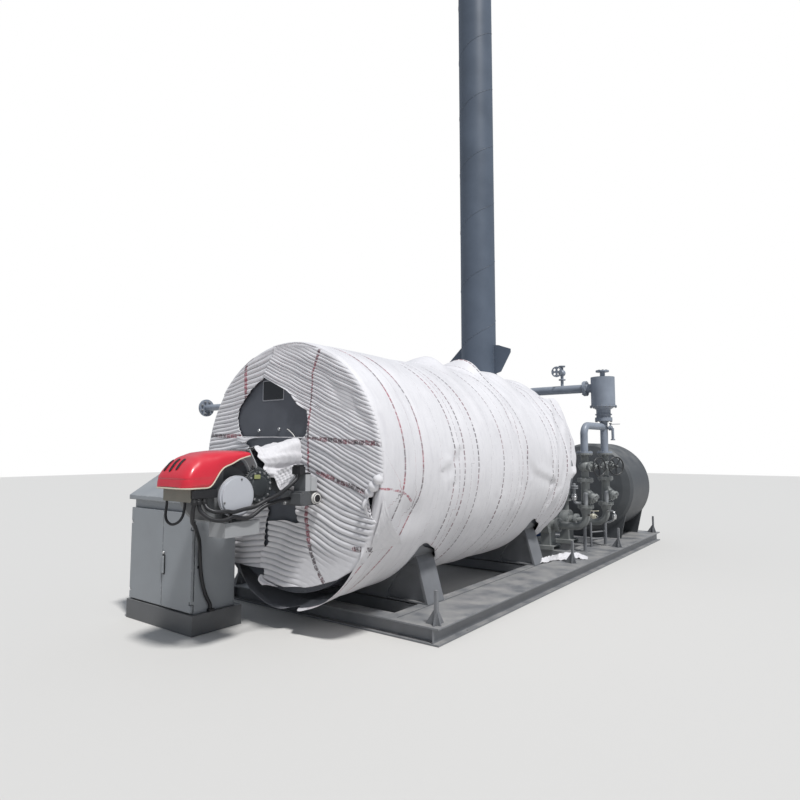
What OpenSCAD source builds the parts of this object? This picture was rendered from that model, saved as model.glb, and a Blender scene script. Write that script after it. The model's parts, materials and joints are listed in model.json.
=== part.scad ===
// Skid mounted thermal oil boiler: wrapped horizontal shell, hooded burner,
// control cabinet, twin pump group, drum at the rear and a steel stack.
// Units are mm, Z is up, +X is the valve side and -Y is the burner end.

/* [Skid] */
// Length of the skid frame
skid_l = 6040; // [5600:10:6600]
// Width over the side beams
skid_w = 2280; // [2200:10:2500]
// Height of the frame
skid_h = 120; // [100:2:160]
// Width of the top plate on each side beam
plate_w = 390; // [330:5:420]
// Width of the inner strip beside the top plate
strip_w = 90; // [70:5:110]
// Groove between the top plate and the inner strip
groove_w = 12; // [8:1:20]
// Distance of the webs inside the outer edge
web_in = 45; // [30:1:60]
// Thickness of flanges and top plates
flange_t = 12; // [8:1:16]
// Thickness of the webs
web_t = 10; // [6:1:14]

/* [Boiler] */
// Diameter over the fabric wrap
wrap_d = 1960; // [1900:10:2050]
// Thickness of the blanket on the side
blanket_t = 50; // [30:5:60]
// Thickness of the quilt over the front
quilt_t = 14; // [10:1:25]
// Height of the boiler axis over the ground
axis_z = 1200; // [1180:5:1280]
// Front of the wrap ahead of the skid end
front_out = 390; // [330:5:450]
// Rear of the wrap measured from the front end of the skid
rear_y = 3220; // [3150:10:3300]
// Wall thickness of the shell
shell_t = 12; // [8:1:16]
// Thickness of the flat ends
end_t = 16; // [12:1:25]
// Width of each saddle along the boiler
saddle_l = 235; // [200:5:280]
// Front face of the front saddle from the skid end
saddle_1 = 468; // [430:2:520]
// Front face of the rear saddle from the skid end
saddle_2 = 2480; // [2400:10:2560]

/* [Stack] */
// Outer diameter of the stack
stack_d = 406; // [360:2:450]
// Wall of the stack
stack_t = 6; // [5:1:10]
// Stack axis measured from the front end of the skid
stack_y = 2640; // [2560:10:2700]
// Height of the stack top over the ground
stack_top = 8000; // [6000:50:9000]
// Height of the joint between base and stack
stack_joint = 2205; // [2195:5:2230]

/* [Burner] */
// Width of the hood
hood_w = 360; // [320:5:400]
// Front of the hood ahead of the skid end
hood_out = 1350; // [1320:5:1380]
// Underside of the hood skirt
hood_z = 1100; // [1090:5:1110]
// Radius of the fan scroll
scroll_r = 190; // [170:2:195]
// Width of the fan scroll
scroll_w = 250; // [220:5:270]
// Diameter of the air damper cover
damper_d = 272; // [250:2:290]
// Diameter of the fan motor
fan_motor_d = 236; // [220:2:244]
// Diameter of the blast tube
blast_d = 240; // [220:2:244]
// Height of the blast tube axis
blast_z = 1165; // [1150:5:1180]

/* [Cabinet] */
// Width of the cabinet body
cab_w = 836; // [780:2:860]
// Depth of the cabinet body
cab_d = 356; // [330:2:380]
// Right side of the cabinet body left of the boiler axis
cab_x = 430; // [410:2:450]
// Front of the cabinet body ahead of the skid end
cab_out = 846; // [830:2:860]
// Height of the plinth
plinth_h = 146; // [120:2:170]
// Height of the front edge of the cabinet top
cab_front_h = 962; // [930:2:990]
// Rise of the sloped top per 100 of depth
cab_slope = 62; // [50:1:70]
// Sheet thickness of the cabinet
cab_t = 15; // [10:1:20]
// Thickness of each door
door_t = 20; // [16:1:24]
// Clearance around each door
door_gap = 8; // [7:1:10]
// Radius of the hinge pins
pin_r = 6; // [5:0.5:8]

/* [Pump group] */
// Outer diameter of the suction pipes
pipe_d = 89; // [76:1:95]
// Outer diameter of the pipe flanges
pflange_d = 190; // [170:2:200]
// Thickness of each pipe flange
pflange_t = 20; // [16:1:24]
// Left riser from the boiler axis
riser1_x = 870; // [850:5:890]
// Left riser from the skid end
riser1_y = 3680; // [3650:10:3720]
// Right riser from the boiler axis
riser2_x = 915; // [895:5:935]
// Right riser from the skid end
riser2_y = 4300; // [4260:10:4340]
// Height of the upper flange joint of the risers
joint_1 = 1300; // [1280:5:1320]
// Height of the joint between valve and strainer
joint_2 = 975; // [960:5:990]
// Height of the joint between strainer and elbow
joint_3 = 660; // [640:5:680]
// Height of the pump shafts
pump_z = 410; // [395:5:425]
// Diameter of the handwheels
wheel_d = 240; // [200:5:260]
// Turn of the left valve stem towards the burner end
stem1_turn = 20; // [0:1:40]
// Turn of the right valve stem towards the burner end
stem2_turn = 34; // [0:1:45]
// Diameter of the separator
sep_d = 300; // [280:5:320]
// Underside of the separator
sep_z = 1900; // [1880:5:1920]
// Height of the separator body
sep_h = 390; // [370:5:410]

/* [Drum] */
// Diameter of the rear drum
drum_d = 1240; // [1100:10:1280]
// Height of the drum axis
drum_z = 815; // [780:5:860]
// Drum axis right of the boiler axis
drum_x = 450; // [420:5:480]
// Front of the drum from the skid end
drum_y = 4880; // [4800:10:4950]
// Length of the drum
drum_l = 1060; // [900:10:1100]
// Wall of the drum
drum_t = 8; // [6:1:12]

/* [Hidden] */

$fn = 96;
seat = 0.3;
run_gap = 0.05;
bolt_r = 9;
wrap_r = wrap_d / 2;
shell_r = wrap_r - blanket_t;
half_w = skid_w / 2;
strip_x = half_w - plate_w - groove_w - strip_w;
web_x = half_w - web_in - web_t;
grey = "#8d9196";
dark = "#4e5258";

module skid_frame() {
    translate([0, -skid_l / 2, 0])
        children();
}

// Cylinder along X from x0 to x1
module rod_x(r, x0, x1, y, z) {
    translate([x0, y, z])
        rotate([0, 90, 0])
            cylinder(r = r, h = x1 - x0);
}

// Cylinder along Y from y0 to y1
module rod_y(r, y0, y1, x, z) {
    translate([x, y0, z])
        rotate([-90, 0, 0])
            cylinder(r = r, h = y1 - y0);
}

// Cylinder along Z from z0 to z1
module rod_z(r, z0, z1, x, y) {
    translate([x, y, z0])
        cylinder(r = r, h = z1 - z0);
}

module block(x0, x1, y0, y1, z0, z1) {
    translate([x0, y0, z0])
        cube([x1 - x0, y1 - y0, z1 - z0]);
}

// Profile in the YZ plane drawn out along X
module side_plate(x0, x1) {
    translate([x0, 0, 0])
        rotate([90, 0, 90])
            linear_extrude(x1 - x0)
                children();
}

// Profile in the XZ plane drawn out along Y
module end_plate(y0, y1) {
    translate([0, y1, 0])
        rotate([90, 0, 0])
            linear_extrude(y1 - y0)
                children();
}

// Quarter bend of radius bend_r, from +Z at its start to +X at its end
module quarter(r, bend_r) {
    translate([bend_r, 0, 0])
        rotate([90, 0, 0])
            rotate([0, 0, 90])
                rotate_extrude(angle = 90)
                    translate([bend_r, 0])
                        circle(r);
}

pad_t = 12;
foot_in = 130;
anchor_y = 420;
anchor_r = 9;

module side_profile() {
    translate([half_w - plate_w, skid_h - flange_t])
        square([plate_w, flange_t]);
    translate([strip_x, skid_h - flange_t])
        square([strip_w, flange_t]);
    translate([web_x, 0])
        square([web_t, skid_h]);
    translate([half_w - 120, 0])
        square([120, flange_t]);
    translate([strip_x + 40, 0])
        square([web_t, skid_h]);
    translate([strip_x, 0])
        square([strip_w, flange_t]);
}

module side_beam() {
    difference() {
        end_plate(web_in + web_t, skid_l - web_in - web_t)
            side_profile();
        for (y = [anchor_y, skid_l - anchor_y])
            rod_z(anchor_r, -1, flange_t + 1, half_w - web_in / 2, y, $fn = 24);
    }
    for (y = [0.06, 0.22, 0.4, 0.58, 0.76, 0.94])
        block(strip_x + 40, web_x + web_t, skid_l * y, skid_l * y + web_t, flange_t / 2,
            skid_h - flange_t / 2);
}

module skid_beam_right() {
    color(grey)
        skid_frame()
            side_beam();
}

module skid_beam_left() {
    color(grey)
        skid_frame()
            mirror([1, 0, 0])
                side_beam();
}

module end_beam() {
    end_depth = web_in + web_t;
    block(-half_w, half_w, 0, end_depth, skid_h - flange_t, skid_h);
    block(-half_w, half_w, 0, end_depth, 0, flange_t);
    block(-half_w + web_in, half_w - web_in, web_in, end_depth, 0, skid_h);
    block(-strip_x, strip_x, end_depth - 1, 150, skid_h - flange_t, skid_h);
    for (s = [-1, 1])
        translate([s * (half_w - web_in - 5) - 5, 3, 1])
            cube([10, web_in, skid_h - 2]);
}

module skid_end_beams() {
    color(grey)
        skid_frame() {
            end_beam();
            translate([0, skid_l, 0])
                mirror([0, 1, 0])
                    end_beam();
        }
}

module skid_cross_members() {
    reach = strip_x + 40 - seat;
    color(dark)
        skid_frame()
            for (y = [saddle_1 + saddle_l / 2, saddle_2 + saddle_l / 2, riser1_y, riser2_y, drum_y + foot_in,
                drum_y + drum_l - foot_in])
                difference() {
                    block(-reach, reach, y - 110, y + 110, flange_t + seat, skid_h - flange_t - seat);
                    block(-reach - 1, reach + 1, y - 98, y + 98, flange_t - 1, skid_h - flange_t * 2);
                }
}

module lug(x, y) {
    lug_h = 238;
    block(x - 11, x + 11, y - 14, y + 14, skid_h, skid_h + lug_h);
    translate([0, y + 5, 0])
        rotate([90, 0, 0])
            linear_extrude(10)
                polygon([[x - 90, skid_h], [x, skid_h + 130], [x + 40, skid_h]]);
    side_plate(x - 5, x + 5)
        polygon([[y - 40, skid_h], [y, skid_h + 130], [y + 90, skid_h]]);
}

module lifting_lugs() {
    color(dark)
        skid_frame()
            for (s = [-1, 1], p = [[62, 70], [140, rear_y - 350], [62, riser2_y - 60], [62, skid_l - 120]])
                lug(s * (half_w - p[0]), p[1]);
}

// Side view of the pad that shows through the notch in the wrap, grown by the given margin
module pad_profile(y, grow) {
    polygon([[y - 175 - grow, skid_h + 20 - grow], [y - 195 - grow, 505 + grow], [y - 190 - grow, 600 + grow],
        [y - 160, 622 + grow], [y - 110 + grow / 2, 618 + grow], [y + 20 + grow, 568 + grow],
        [y + saddle_l + 14 + grow, 512 + grow], [y + saddle_l + 22 + grow, 470 + grow],
        [y + saddle_l + 22 + grow, skid_h + 20 - grow]]);
}

// Box saddle with sloped end plates, seated on the inner strips, and the pad round the shell
module saddle(y) {
    base = skid_h;
    foot = strip_x + strip_w;
    top_x = foot - 95;
    difference() {
        end_plate(y, y + saddle_l)
            polygon([[-foot, base], [foot, base], [top_x, base + 320], [top_x - 55, base + 440],
                [0, base + 440], [55 - top_x, base + 440], [-top_x, base + 320]]);
        rod_y(shell_r, y - 1, y + saddle_l + 1, 0, axis_z);
        for (s = [0, 1])
            end_plate(y - 1 + s * (saddle_l - 29), y + 30 + s * (saddle_l - 29))
                for (m = [-1, 1])
                    polygon([[m * (foot - 30), base + 14], [m * (top_x - 20), base + 306],
                        [m * (top_x - 150), base + 306], [m * 330, base + 60], [m * 330, base + 14]]);
    }
    difference() {
        intersection() {
            rod_y(shell_r + pad_t, y - 400, y + saddle_l + 400, 0, axis_z);
            side_plate(-half_w, half_w)
                pad_profile(y, 0);
        }
        rod_y(shell_r, y - 401, y + saddle_l + 401, 0, axis_z);
    }
}

module saddles() {
    color(dark)
        skid_frame() {
            saddle(saddle_1);
            saddle(saddle_2);
        }
}

shell_y0 = -front_out + quilt_t + 60;
shell_y1 = rear_y - blanket_t;

module shell() {
    color(grey)
        skid_frame()
            difference() {
                rod_y(shell_r - seat, shell_y0, shell_y1, 0, axis_z);
                rod_y(shell_r - shell_t, shell_y0 - 1, shell_y1 + 1, 0, axis_z);
                rod_z(stack_d / 2 - stack_t - 4, axis_z, axis_z + wrap_r, 0, stack_y);
            }
}

module front_end() {
    color(dark)
        skid_frame()
            difference() {
                rod_y(shell_r - shell_t - seat, shell_y0, shell_y0 + end_t, 0, axis_z);
                rod_y(blast_d / 2 - 30, shell_y0 - 1, shell_y0 + end_t + 1, 0, blast_z);
            }
}

module rear_end() {
    color(dark)
        skid_frame()
            rod_y(shell_r - shell_t - seat, shell_y1 - end_t, shell_y1, 0, axis_z);
}

box_w = 1240;
box_z0 = 560;
box_z1 = 2005;

// Outline of the front box, drawn in by the given wall
module box_form(wall) {
    x = box_w / 2 - wall;
    polygon([[-x, box_z0 + wall], [x, box_z0 + wall], [x, box_z1 - 135], [x - 190, box_z1 - wall],
        [190 - x, box_z1 - wall], [-x, box_z1 - 135]]);
}

module front_box() {
    y0 = -front_out + quilt_t + seat;
    color("#575c66")
        skid_frame()
            difference() {
                end_plate(y0, shell_y0)
                    box_form(0);
                end_plate(y0 + 12, shell_y0 + 1)
                    box_form(12);
                rod_y(blast_d / 2 - 30, y0 - 1, y0 + 30, 0, blast_z);
            }
}

header_x = -200;
header_in_z = 1720;
disch_x = 380;
disch_z = 950;
nozzle_y = -110;
nozzle_z = 1735;
nozzle_x = -1400;
nozzle_d = 60;

module wrap_side() {
    color("#e6e2e2")
        skid_frame()
            difference() {
                rod_y(wrap_r, -front_out + quilt_t, rear_y, 0, axis_z);
                rod_y(shell_r, -front_out, rear_y - blanket_t, 0, axis_z);
                rod_z(stack_d / 2 + 14, axis_z, axis_z + wrap_r + 10, 0, stack_y);
                rod_x(nozzle_d / 2 + 6, -wrap_r - 10, -300, nozzle_y, nozzle_z);
                rod_y(pipe_d / 2 + 6, rear_y - blanket_t - 5, rear_y + 5, header_x, header_in_z);
                rod_y(pipe_d / 2 + 6, rear_y - blanket_t - 5, rear_y + 5, disch_x, disch_z);
                for (y = [saddle_1, saddle_2])
                    side_plate(-wrap_r - 10, wrap_r + 10)
                        pad_profile(y, 8);
            }
}

// Torn opening in the quilt, seen from the burner end
module torn_hole() {
    polygon([[-272, 1925], [-208, 1900], [-140, 1890], [-82, 1848], [22, 1812], [75, 1765],
        [160, 1680], [262, 1622], [284, 1538], [262, 1450], [200, 1350], [170, 1240], [190, 1080],
        [110, 960], [-60, 880], [-160, 860], [-190, 990], [-330, 1120], [-402, 1363], [-490, 1445],
        [-562, 1594], [-540, 1680], [-470, 1745], [-372, 1835]]);
}

module wrap_front() {
    color("#ece8e8")
        skid_frame()
            difference() {
                rod_y(wrap_r - seat, -front_out, -front_out + quilt_t - seat, 0, axis_z);
                end_plate(-front_out - 1, -front_out + quilt_t + 1)
                    torn_hole();
            }
}

collar_out = 14;
collar_h = 14;

module stack_base() {
    joint_r = stack_d / 2 + collar_out;
    color(dark)
        skid_frame()
            difference() {
                union() {
                    rod_z(stack_d / 2, axis_z + shell_r - 60, stack_joint, 0, stack_y);
                    rod_z(joint_r, stack_joint - collar_h, stack_joint, 0, stack_y);
                }
                rod_z(stack_d / 2 - stack_t, axis_z, stack_joint + 1, 0, stack_y);
                rod_y(shell_r + seat, stack_y - stack_d, stack_y + stack_d, 0, axis_z);
            }
}

// Gusset plates on both sides of the stack's foot, the right one cut back below
module stack_ears() {
    foot = stack_joint + collar_h;
    in_r = stack_d / 2 - 3;
    end_plate(stack_y - 5, stack_y + 5) {
        polygon([[-in_r, foot - 4], [-in_r - 205, foot + 21], [-in_r - 215, foot + 180], [-in_r, foot + 380]]);
        polygon([[in_r, foot - 4], [in_r + 90, foot + 21], [in_r + 215, foot + 237], [in_r + 215, foot + 276],
            [in_r + 60, foot + 334], [in_r, foot + 340]]);
    }
}

module stack() {
    joint_r = stack_d / 2 + collar_out;
    color("#59626f")
        skid_frame()
            difference() {
                union() {
                    rod_z(stack_d / 2, stack_joint, stack_top, 0, stack_y);
                    rod_z(joint_r, stack_joint, stack_joint + collar_h, 0, stack_y);
                    stack_ears();
                    rod_z(stack_d / 2 + 12, stack_top - 60, stack_top, 0, stack_y);
                }
                rod_z(stack_d / 2 - stack_t, stack_joint - 1, stack_top + 1, 0, stack_y);
            }
}

// Flange along X with eight bolt holes
module drilled_x(x0, x1, y, z, r) {
    difference() {
        rod_x(r, x0, x1, y, z);
        for (a = [22.5 : 45 : 360])
            rod_x(bolt_r, x0 - 1, x1 + 1, y + (r - 22) * cos(a), z + (r - 22) * sin(a), $fn = 24);
    }
}

module oil_nozzle() {
    color(grey)
        skid_frame()
            difference() {
                union() {
                    rod_x(nozzle_d / 2, nozzle_x, -600, nozzle_y, nozzle_z);
                    drilled_x(nozzle_x, nozzle_x + 18, nozzle_y, nozzle_z, 80);
                }
                rod_x(nozzle_d / 2 - 4, nozzle_x - 1, -590, nozzle_y, nozzle_z);
                rod_y(shell_r + seat, nozzle_y - 200, nozzle_y + 200, 0, axis_z);
            }
}

scroll_y = -1000;
scroll_z = 1045;
fan_y = -768;
fan_z = 1090;
damper_x = scroll_w / 2 + 57;
damper_y = scroll_y + 25;
bracket_z = 872;

module burner_body() {
    face_y = -front_out + quilt_t;
    color("#70757a")
        skid_frame()
            difference() {
                union() {
                    rod_x(scroll_r, -scroll_w / 2, scroll_w / 2, scroll_y, scroll_z);
                    rod_x(damper_d / 2 - 52, 0, damper_x, damper_y, scroll_z - 10);
                    rod_x(fan_motor_d / 2 - 12, 0, scroll_w / 2 + 7, fan_y, fan_z);
                    rod_y(blast_d / 2, scroll_y, face_y, 0, blast_z);
                    rod_y(blast_d / 2 + 46, face_y - 22, face_y, 0, blast_z);
                    block(-90, 90, scroll_y - scroll_r + 20, fan_y, scroll_z - 55, hood_z + 140);
                    block(60, 230, scroll_y - 85, scroll_y + 195, bracket_z - 97, bracket_z);
                    end_plate(scroll_y + 194, scroll_y + 202)
                        polygon([[-125, 1000], [125, 1000], [125, 1218], [185, 1218], [185, 1237], [107, 1346],
                            [-107, 1346], [-185, 1237], [-185, 1218], [-125, 1218]]);
                }
                rod_y(blast_d / 2 - 30, -600, face_y + 1, 0, blast_z);
            }
}

// Hood form, drawn in by the given inset
module hood_form(inset) {
    y0 = -hood_out + inset;
    yr = scroll_y;
    top = hood_z + 238 - inset;
    half = hood_w / 2 - inset;
    intersection() {
        side_plate(-half, half)
            polygon([[y0, hood_z - 1], [y0 + 4, hood_z + 50], [y0 + 26, hood_z + 104],
                [y0 + 66, hood_z + 156], [y0 + 122, hood_z + 198], [y0 + 200, top - 13], [y0 + 330, top],
                [yr + 130, top - 4], [yr + 160 - inset, top - 22], [yr + 140 - inset, hood_z + 197],
                [yr + 59, hood_z + 177], [yr - 5, hood_z + 147], [yr - 60, hood_z + 129],
                [yr - 90, hood_z + 104], [yr - 112, hood_z + 73], [yr - 134, hood_z + 33],
                [yr - 166, hood_z - 1]]);
        end_plate(-hood_out - 150, yr + 300)
            polygon([[-half, hood_z - 100], [half, hood_z - 100], [half, hood_z + 90],
                [half - 18, hood_z + 162], [half - 62, hood_z + 216], [half - 120, top + 1],
                [120 - half, top + 1], [62 - half, hood_z + 216], [18 - half, hood_z + 162],
                [-half, hood_z + 90]]);
        translate([0, 0, hood_z - 200])
            linear_extrude(600)
                offset(60)
                    polygon([[60 - half, y0 + 60], [half - 60, y0 + 60], [half - 60, yr + 300],
                        [60 - half, yr + 300]]);
    }
}

// Bonnet with compound curves over the burner head, open below and at the back
module burner_hood() {
    color("#c8323f")
        skid_frame()
            difference() {
                hood_form(0);
                hood_form(14);
                block(-hood_w, hood_w, -hood_out - 150, scroll_y + 300, hood_z - 200, hood_z);
                block(-scroll_w / 2 - 5, scroll_w / 2 + 5, scroll_y - 90, scroll_y + 220, 1000,
                    hood_z + 210);
                rod_x(damper_d / 2 + 4, 0, hood_w, damper_y, scroll_z - 10);
            }
}

tray_w = 300;
tray_in = 60;
gland_w = 28;
gland_z = 1035;

module burner_tray() {
    color("#a9a294")
        skid_frame()
            difference() {
                union() {
                    block(-tray_w / 2, tray_w / 2, -hood_out + tray_in, scroll_y - 150, 1012, hood_z);
                    block(14 - hood_w / 2, hood_w / 2 - 14, -hood_out + 78, -hood_out + 130, hood_z - 12,
                        hood_z + 24);
                }
                rod_x(scroll_r + seat, -hood_w, hood_w, scroll_y, scroll_z);
                block(-91, 91, scroll_y - scroll_r + 19, fan_y, scroll_z - 56, hood_z + 141);
            }
}

module air_damper() {
    color("#b9babf")
        skid_frame() {
            rod_x(damper_d / 2, damper_x, damper_x + 22, damper_y, scroll_z - 10);
            rod_x(damper_d / 2 - 12, damper_x, damper_x + 34, damper_y, scroll_z - 10);
        }
}

module fan_motor() {
    x0 = scroll_w / 2 + 7;
    color("#3c4043")
        skid_frame() {
            rod_x(fan_motor_d / 2, x0, x0 + 30, fan_y, fan_z);
            rod_x(fan_motor_d / 2 - 14, x0, x0 + 44, fan_y, fan_z);
        }
}

gas_y = -590;

module gas_train() {
    color("#8f9398")
        skid_frame()
            difference() {
                union() {
                    rod_x(28, 60, 310, gas_y + 62, 1110);
                    block(200, 405, gas_y, gas_y + 143, 953, 1053);
                    block(290, 405, gas_y + 38, gas_y + 86, 1050, 1181);
                    block(330, 414, gas_y + 84, gas_y + 141, 1050, 1151);
                    block(318, 400, gas_y - 10, gas_y + 39, 1170, 1224);
                    rod_x(38, 400, 432, gas_y + 128, 1000);
                }
                rod_y(blast_d / 2 + seat, -900, -300, 0, blast_z);
            }
}

// Gland block beside the tray and the clips that carry the conduits
module cable_clips() {
    gx = tray_w / 2;
    color("#2a2c2e")
        skid_frame() {
            block(gx, gx + gland_w, -hood_out + tray_in + 5, scroll_y - 110, gland_z, hood_z - 12 - seat);
            block(218, 230, scroll_y - 45, scroll_y - 30, bracket_z, bracket_z + 80);
            block(cab_x1, cab_x1 + 2.5, cab_y0 + 20, cab_y0 + 60, 470, 490);
            block(cab_x1, cab_x1 + 34, -735, -690, plinth_h, plinth_h + 18);
        }
}

conduit_r = 14;
loop_r = 9;
cabinet_route = [[165, -1272, 1032], [165, -1272, 1005], [148, -1270, 950], [92, -1231, 887],
    [10, -1160, 850], [-90, -1080, 810], [-190, -1000, 765], [-290, -915, 705], [-370, -852, 640],
    [-404, -824, 570], [-413, -811, 500], [-413, -803, 430], [-413, -786, 350], [-413, -758, 270],
    [-413, -722, 200], [-413, -716, 166]];
loop_route = [[-128, -1276, 1011], [-128, -1276, 993], [-129, -1277, 972], [-131, -1279, 948],
    [-132, -1280, 924], [-126, -1281, 900], [-112, -1280, 880], [-94, -1277, 868], [-73, -1272, 862],
    [-50, -1264, 865], [-29, -1255, 876], [-14, -1245, 894], [-6, -1236, 920], [-4, -1230, 950],
    [-3, -1226, 985], [-3, -1226, 1011]];
upper_route = [[165, -1200, 1032], [165, -1200, 1012], [190, -1195, 976], [222, -1172, 955],
    [240, -1134, 948], [245, -1085, 948], [246, -1037, 940], [247, -990, 946], [248, -945, 953],
    [249, -900, 957], [252, -856, 966], [260, -818, 984], [276, -782, 1004], [297, -748, 1021],
    [320, -714, 1042], [342, -680, 1072], [358, -640, 1105], [365, -598, 1140], [365, -592, 1168]];
lower_route = [[165, -1240, 1032], [165, -1240, 1008], [174, -1232, 962], [200, -1206, 925],
    [224, -1174, 904], [240, -1136, 894], [245, -1088, 896], [246, -1037, 910], [247, -990, 902],
    [248, -945, 893], [249, -900, 898], [252, -856, 920], [258, -815, 948], [268, -775, 968],
    [280, -730, 982], [291, -680, 995], [296, -625, 1000], [296, -592, 1000]];

// Point on the smooth curve through the points of a route, t in whole steps per point
function spot(q, t) = let(n = len(q), i = min(floor(t), n - 2), f = t - i, a = q[max(i - 1, 0)], b = q[i],
    c = q[i + 1], d = q[min(i + 2, n - 1)])
    0.5 * (2 * b + (c - a) * f + (2 * a - 5 * b + 4 * c - d) * f * f + (3 * b - a - 3 * c + d) * f * f * f);

// Round tube of ten sides swept along a route, one ring at each point
module conduit(q, r) {
    n = len(q);
    m = 10;
    way = [for (i = [0 : n - 1]) let(v = spot(q, min(i + 0.1, n - 1)) - spot(q, max(i - 0.1, 0))) v / norm(v)];
    side = [for (w = way) let(v = cross(w, [1, 0.3, 0])) v / norm(v)];
    ring = [for (i = [0 : n - 1], k = [0 : m - 1]) q[i] + r * (cos(k * 360 / m) * side[i]
        + sin(k * 360 / m) * cross(way[i], side[i]))];
    faces = [for (i = [0 : n - 2], k = [0 : m - 1]) each [[i * m + k, i * m + (k + 1) % m, (i + 1) * m + k],
        [i * m + (k + 1) % m, (i + 1) * m + (k + 1) % m, (i + 1) * m + k]]];
    polyhedron(ring, concat([[for (k = [m - 1 : -1 : 0]) k]], faces, [[for (k = [0 : m - 1]) (n - 1) * m + k]]));
}

module conduit_cabinet() {
    color("#1b1c1e")
        skid_frame()
            conduit(cabinet_route, conduit_r);
}

module conduit_loop() {
    color("#1b1c1e")
        skid_frame()
            conduit(loop_route, loop_r);
}

module conduit_upper() {
    color("#1b1c1e")
        skid_frame()
            conduit(upper_route, conduit_r);
}

module conduit_lower() {
    color("#1b1c1e")
        skid_frame()
            conduit(lower_route, conduit_r);
}

cab_x0 = -cab_x - cab_w;
cab_x1 = -cab_x;
cab_y0 = -cab_out;
cab_y1 = -cab_out + cab_d;
cab_rear_h = cab_front_h + cab_d * cab_slope / 100;
door_y = cab_y0 - door_gap;
door_z0 = plinth_h + door_gap + 4;
door_z1 = cab_front_h - 88;
door_mid = cab_x0 + cab_w * 0.545;
handle_z = 405;
hinge_z = [door_z0 + 90, door_z1 - 90];

module cabinet_plinth() {
    color("#595d61")
        skid_frame()
            difference() {
                block(cab_x0 - 22, cab_x1 + 35, cab_y0 - 36, cab_y1 + 46, 0, plinth_h);
                block(cab_x0 - 4, cab_x1 + 17, cab_y0 - 18, cab_y1 + 28, -1, plinth_h - 12);
            }
}

// Body sheet box, open to the front behind the doors
module cabinet_body() {
    color("#8d9195")
        skid_frame() {
            difference() {
                side_plate(cab_x0, cab_x1)
                    polygon([[cab_y0, plinth_h], [cab_y1, plinth_h], [cab_y1, cab_rear_h], [cab_y0, cab_front_h]]);
                side_plate(cab_x0 + cab_t, cab_x1 - cab_t)
                    polygon([[cab_y0 - 1, door_z0 + 20], [cab_y1 - cab_t, door_z0 + 20],
                        [cab_y1 - cab_t, cab_rear_h - cab_t * 3], [cab_y0 - 1, door_z1 - 20]]);
            }
            for (s = [cab_x0 + pin_r + 2, cab_x1 - pin_r - 2], z = hinge_z) {
                block(s - pin_r - 2, s + pin_r + 2, door_y - door_t / 2 - pin_r, cab_y0 + 1, z - 30, z - 12);
                rod_z(pin_r, z - 14, z + 12, s, door_y - door_t / 2, $fn = 48);
            }
        }
}

module cabinet_top() {
    drop = cab_slope / 100;
    over = 36;
    lift = seat;
    color("#a5a9ac")
        skid_frame()
            side_plate(cab_x0 - over, cab_x1 + over)
                polygon([[cab_y0 - over, cab_front_h - over * drop + lift],
                    [cab_y1 + over / 2, cab_rear_h + over / 2 * drop + lift],
                    [cab_y1 + over / 2, cab_rear_h + over / 2 * drop + 34],
                    [cab_y0 - over, cab_front_h - over * drop + 34]]);
}

// Door leaf with a bored pocket over each hinge pin
module door(x0, x1, hinge_x) {
    difference() {
        block(x0, x1, door_y - door_t, door_y, door_z0, door_z1);
        for (z = hinge_z) {
            rod_z(pin_r + run_gap, z - 40, z + 18, hinge_x, door_y - door_t / 2, $fn = 48);
            block(hinge_x - pin_r - 9, hinge_x + pin_r + 9, door_y - door_t - 1, door_y + 1, z - 36, z - 12 + seat);
        }
    }
}

module cabinet_door_left() {
    color("#8d9195")
        skid_frame()
            door(cab_x0, door_mid - door_gap / 2, cab_x0 + pin_r + 2);
}

module cabinet_door_right() {
    color("#8d9195")
        skid_frame() {
            door(door_mid + door_gap / 2, cab_x1, cab_x1 - pin_r - 2);
            block(door_mid + 12, door_mid + 34, door_y - door_t - 14, door_y - door_t + 1, handle_z, handle_z + 130);
        }
}

// Flange along Z with eight bolt holes
module drilled_z(z0, z1, x, y, r) {
    difference() {
        rod_z(r, z0, z1, x, y);
        for (a = [22.5 : 45 : 360])
            rod_z(bolt_r, z0 - 1, z1 + 1, x + (r - 22) * cos(a), y + (r - 22) * sin(a), $fn = 24);
    }
}

neck_joint = 1735;
neck_r = 90;

module separator() {
    color("#8891a0")
        skid_frame() {
            rod_z(sep_d / 2, sep_z, sep_z + sep_h, riser2_x, riser2_y);
            rod_z(sep_d / 2 + 18, sep_z, sep_z + 14, riser2_x, riser2_y);
            translate([riser2_x, riser2_y, sep_z - 36])
                cylinder(r1 = neck_r, r2 = sep_d / 2 - 8, h = 37);
            rod_z(neck_r, neck_joint + 10, sep_z - 35, riser2_x, riser2_y);
            rod_z(neck_r + 18, neck_joint, neck_joint + 22, riser2_x, riser2_y);
            rod_z(neck_r + 14, neck_joint + 58, neck_joint + 72, riser2_x, riser2_y);
            rod_z(32, sep_z + sep_h - 1, sep_z + sep_h + 90, riser2_x, riser2_y);
            drilled_z(sep_z + sep_h + 70, sep_z + sep_h + 90, riser2_x, riser2_y, 84);
            rod_x(57, riser2_x - sep_d / 2 - 60, riser2_x, riser2_y, sep_z + 255);
            rod_x(100, riser2_x - sep_d / 2 - 80, riser2_x - sep_d / 2 - 60, riser2_y, sep_z + 255);
            rod_x(57, riser2_x - sep_d / 2 - 80, riser2_x - sep_d / 2 - 59, riser2_y, sep_z + 255);
        }
}

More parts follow.
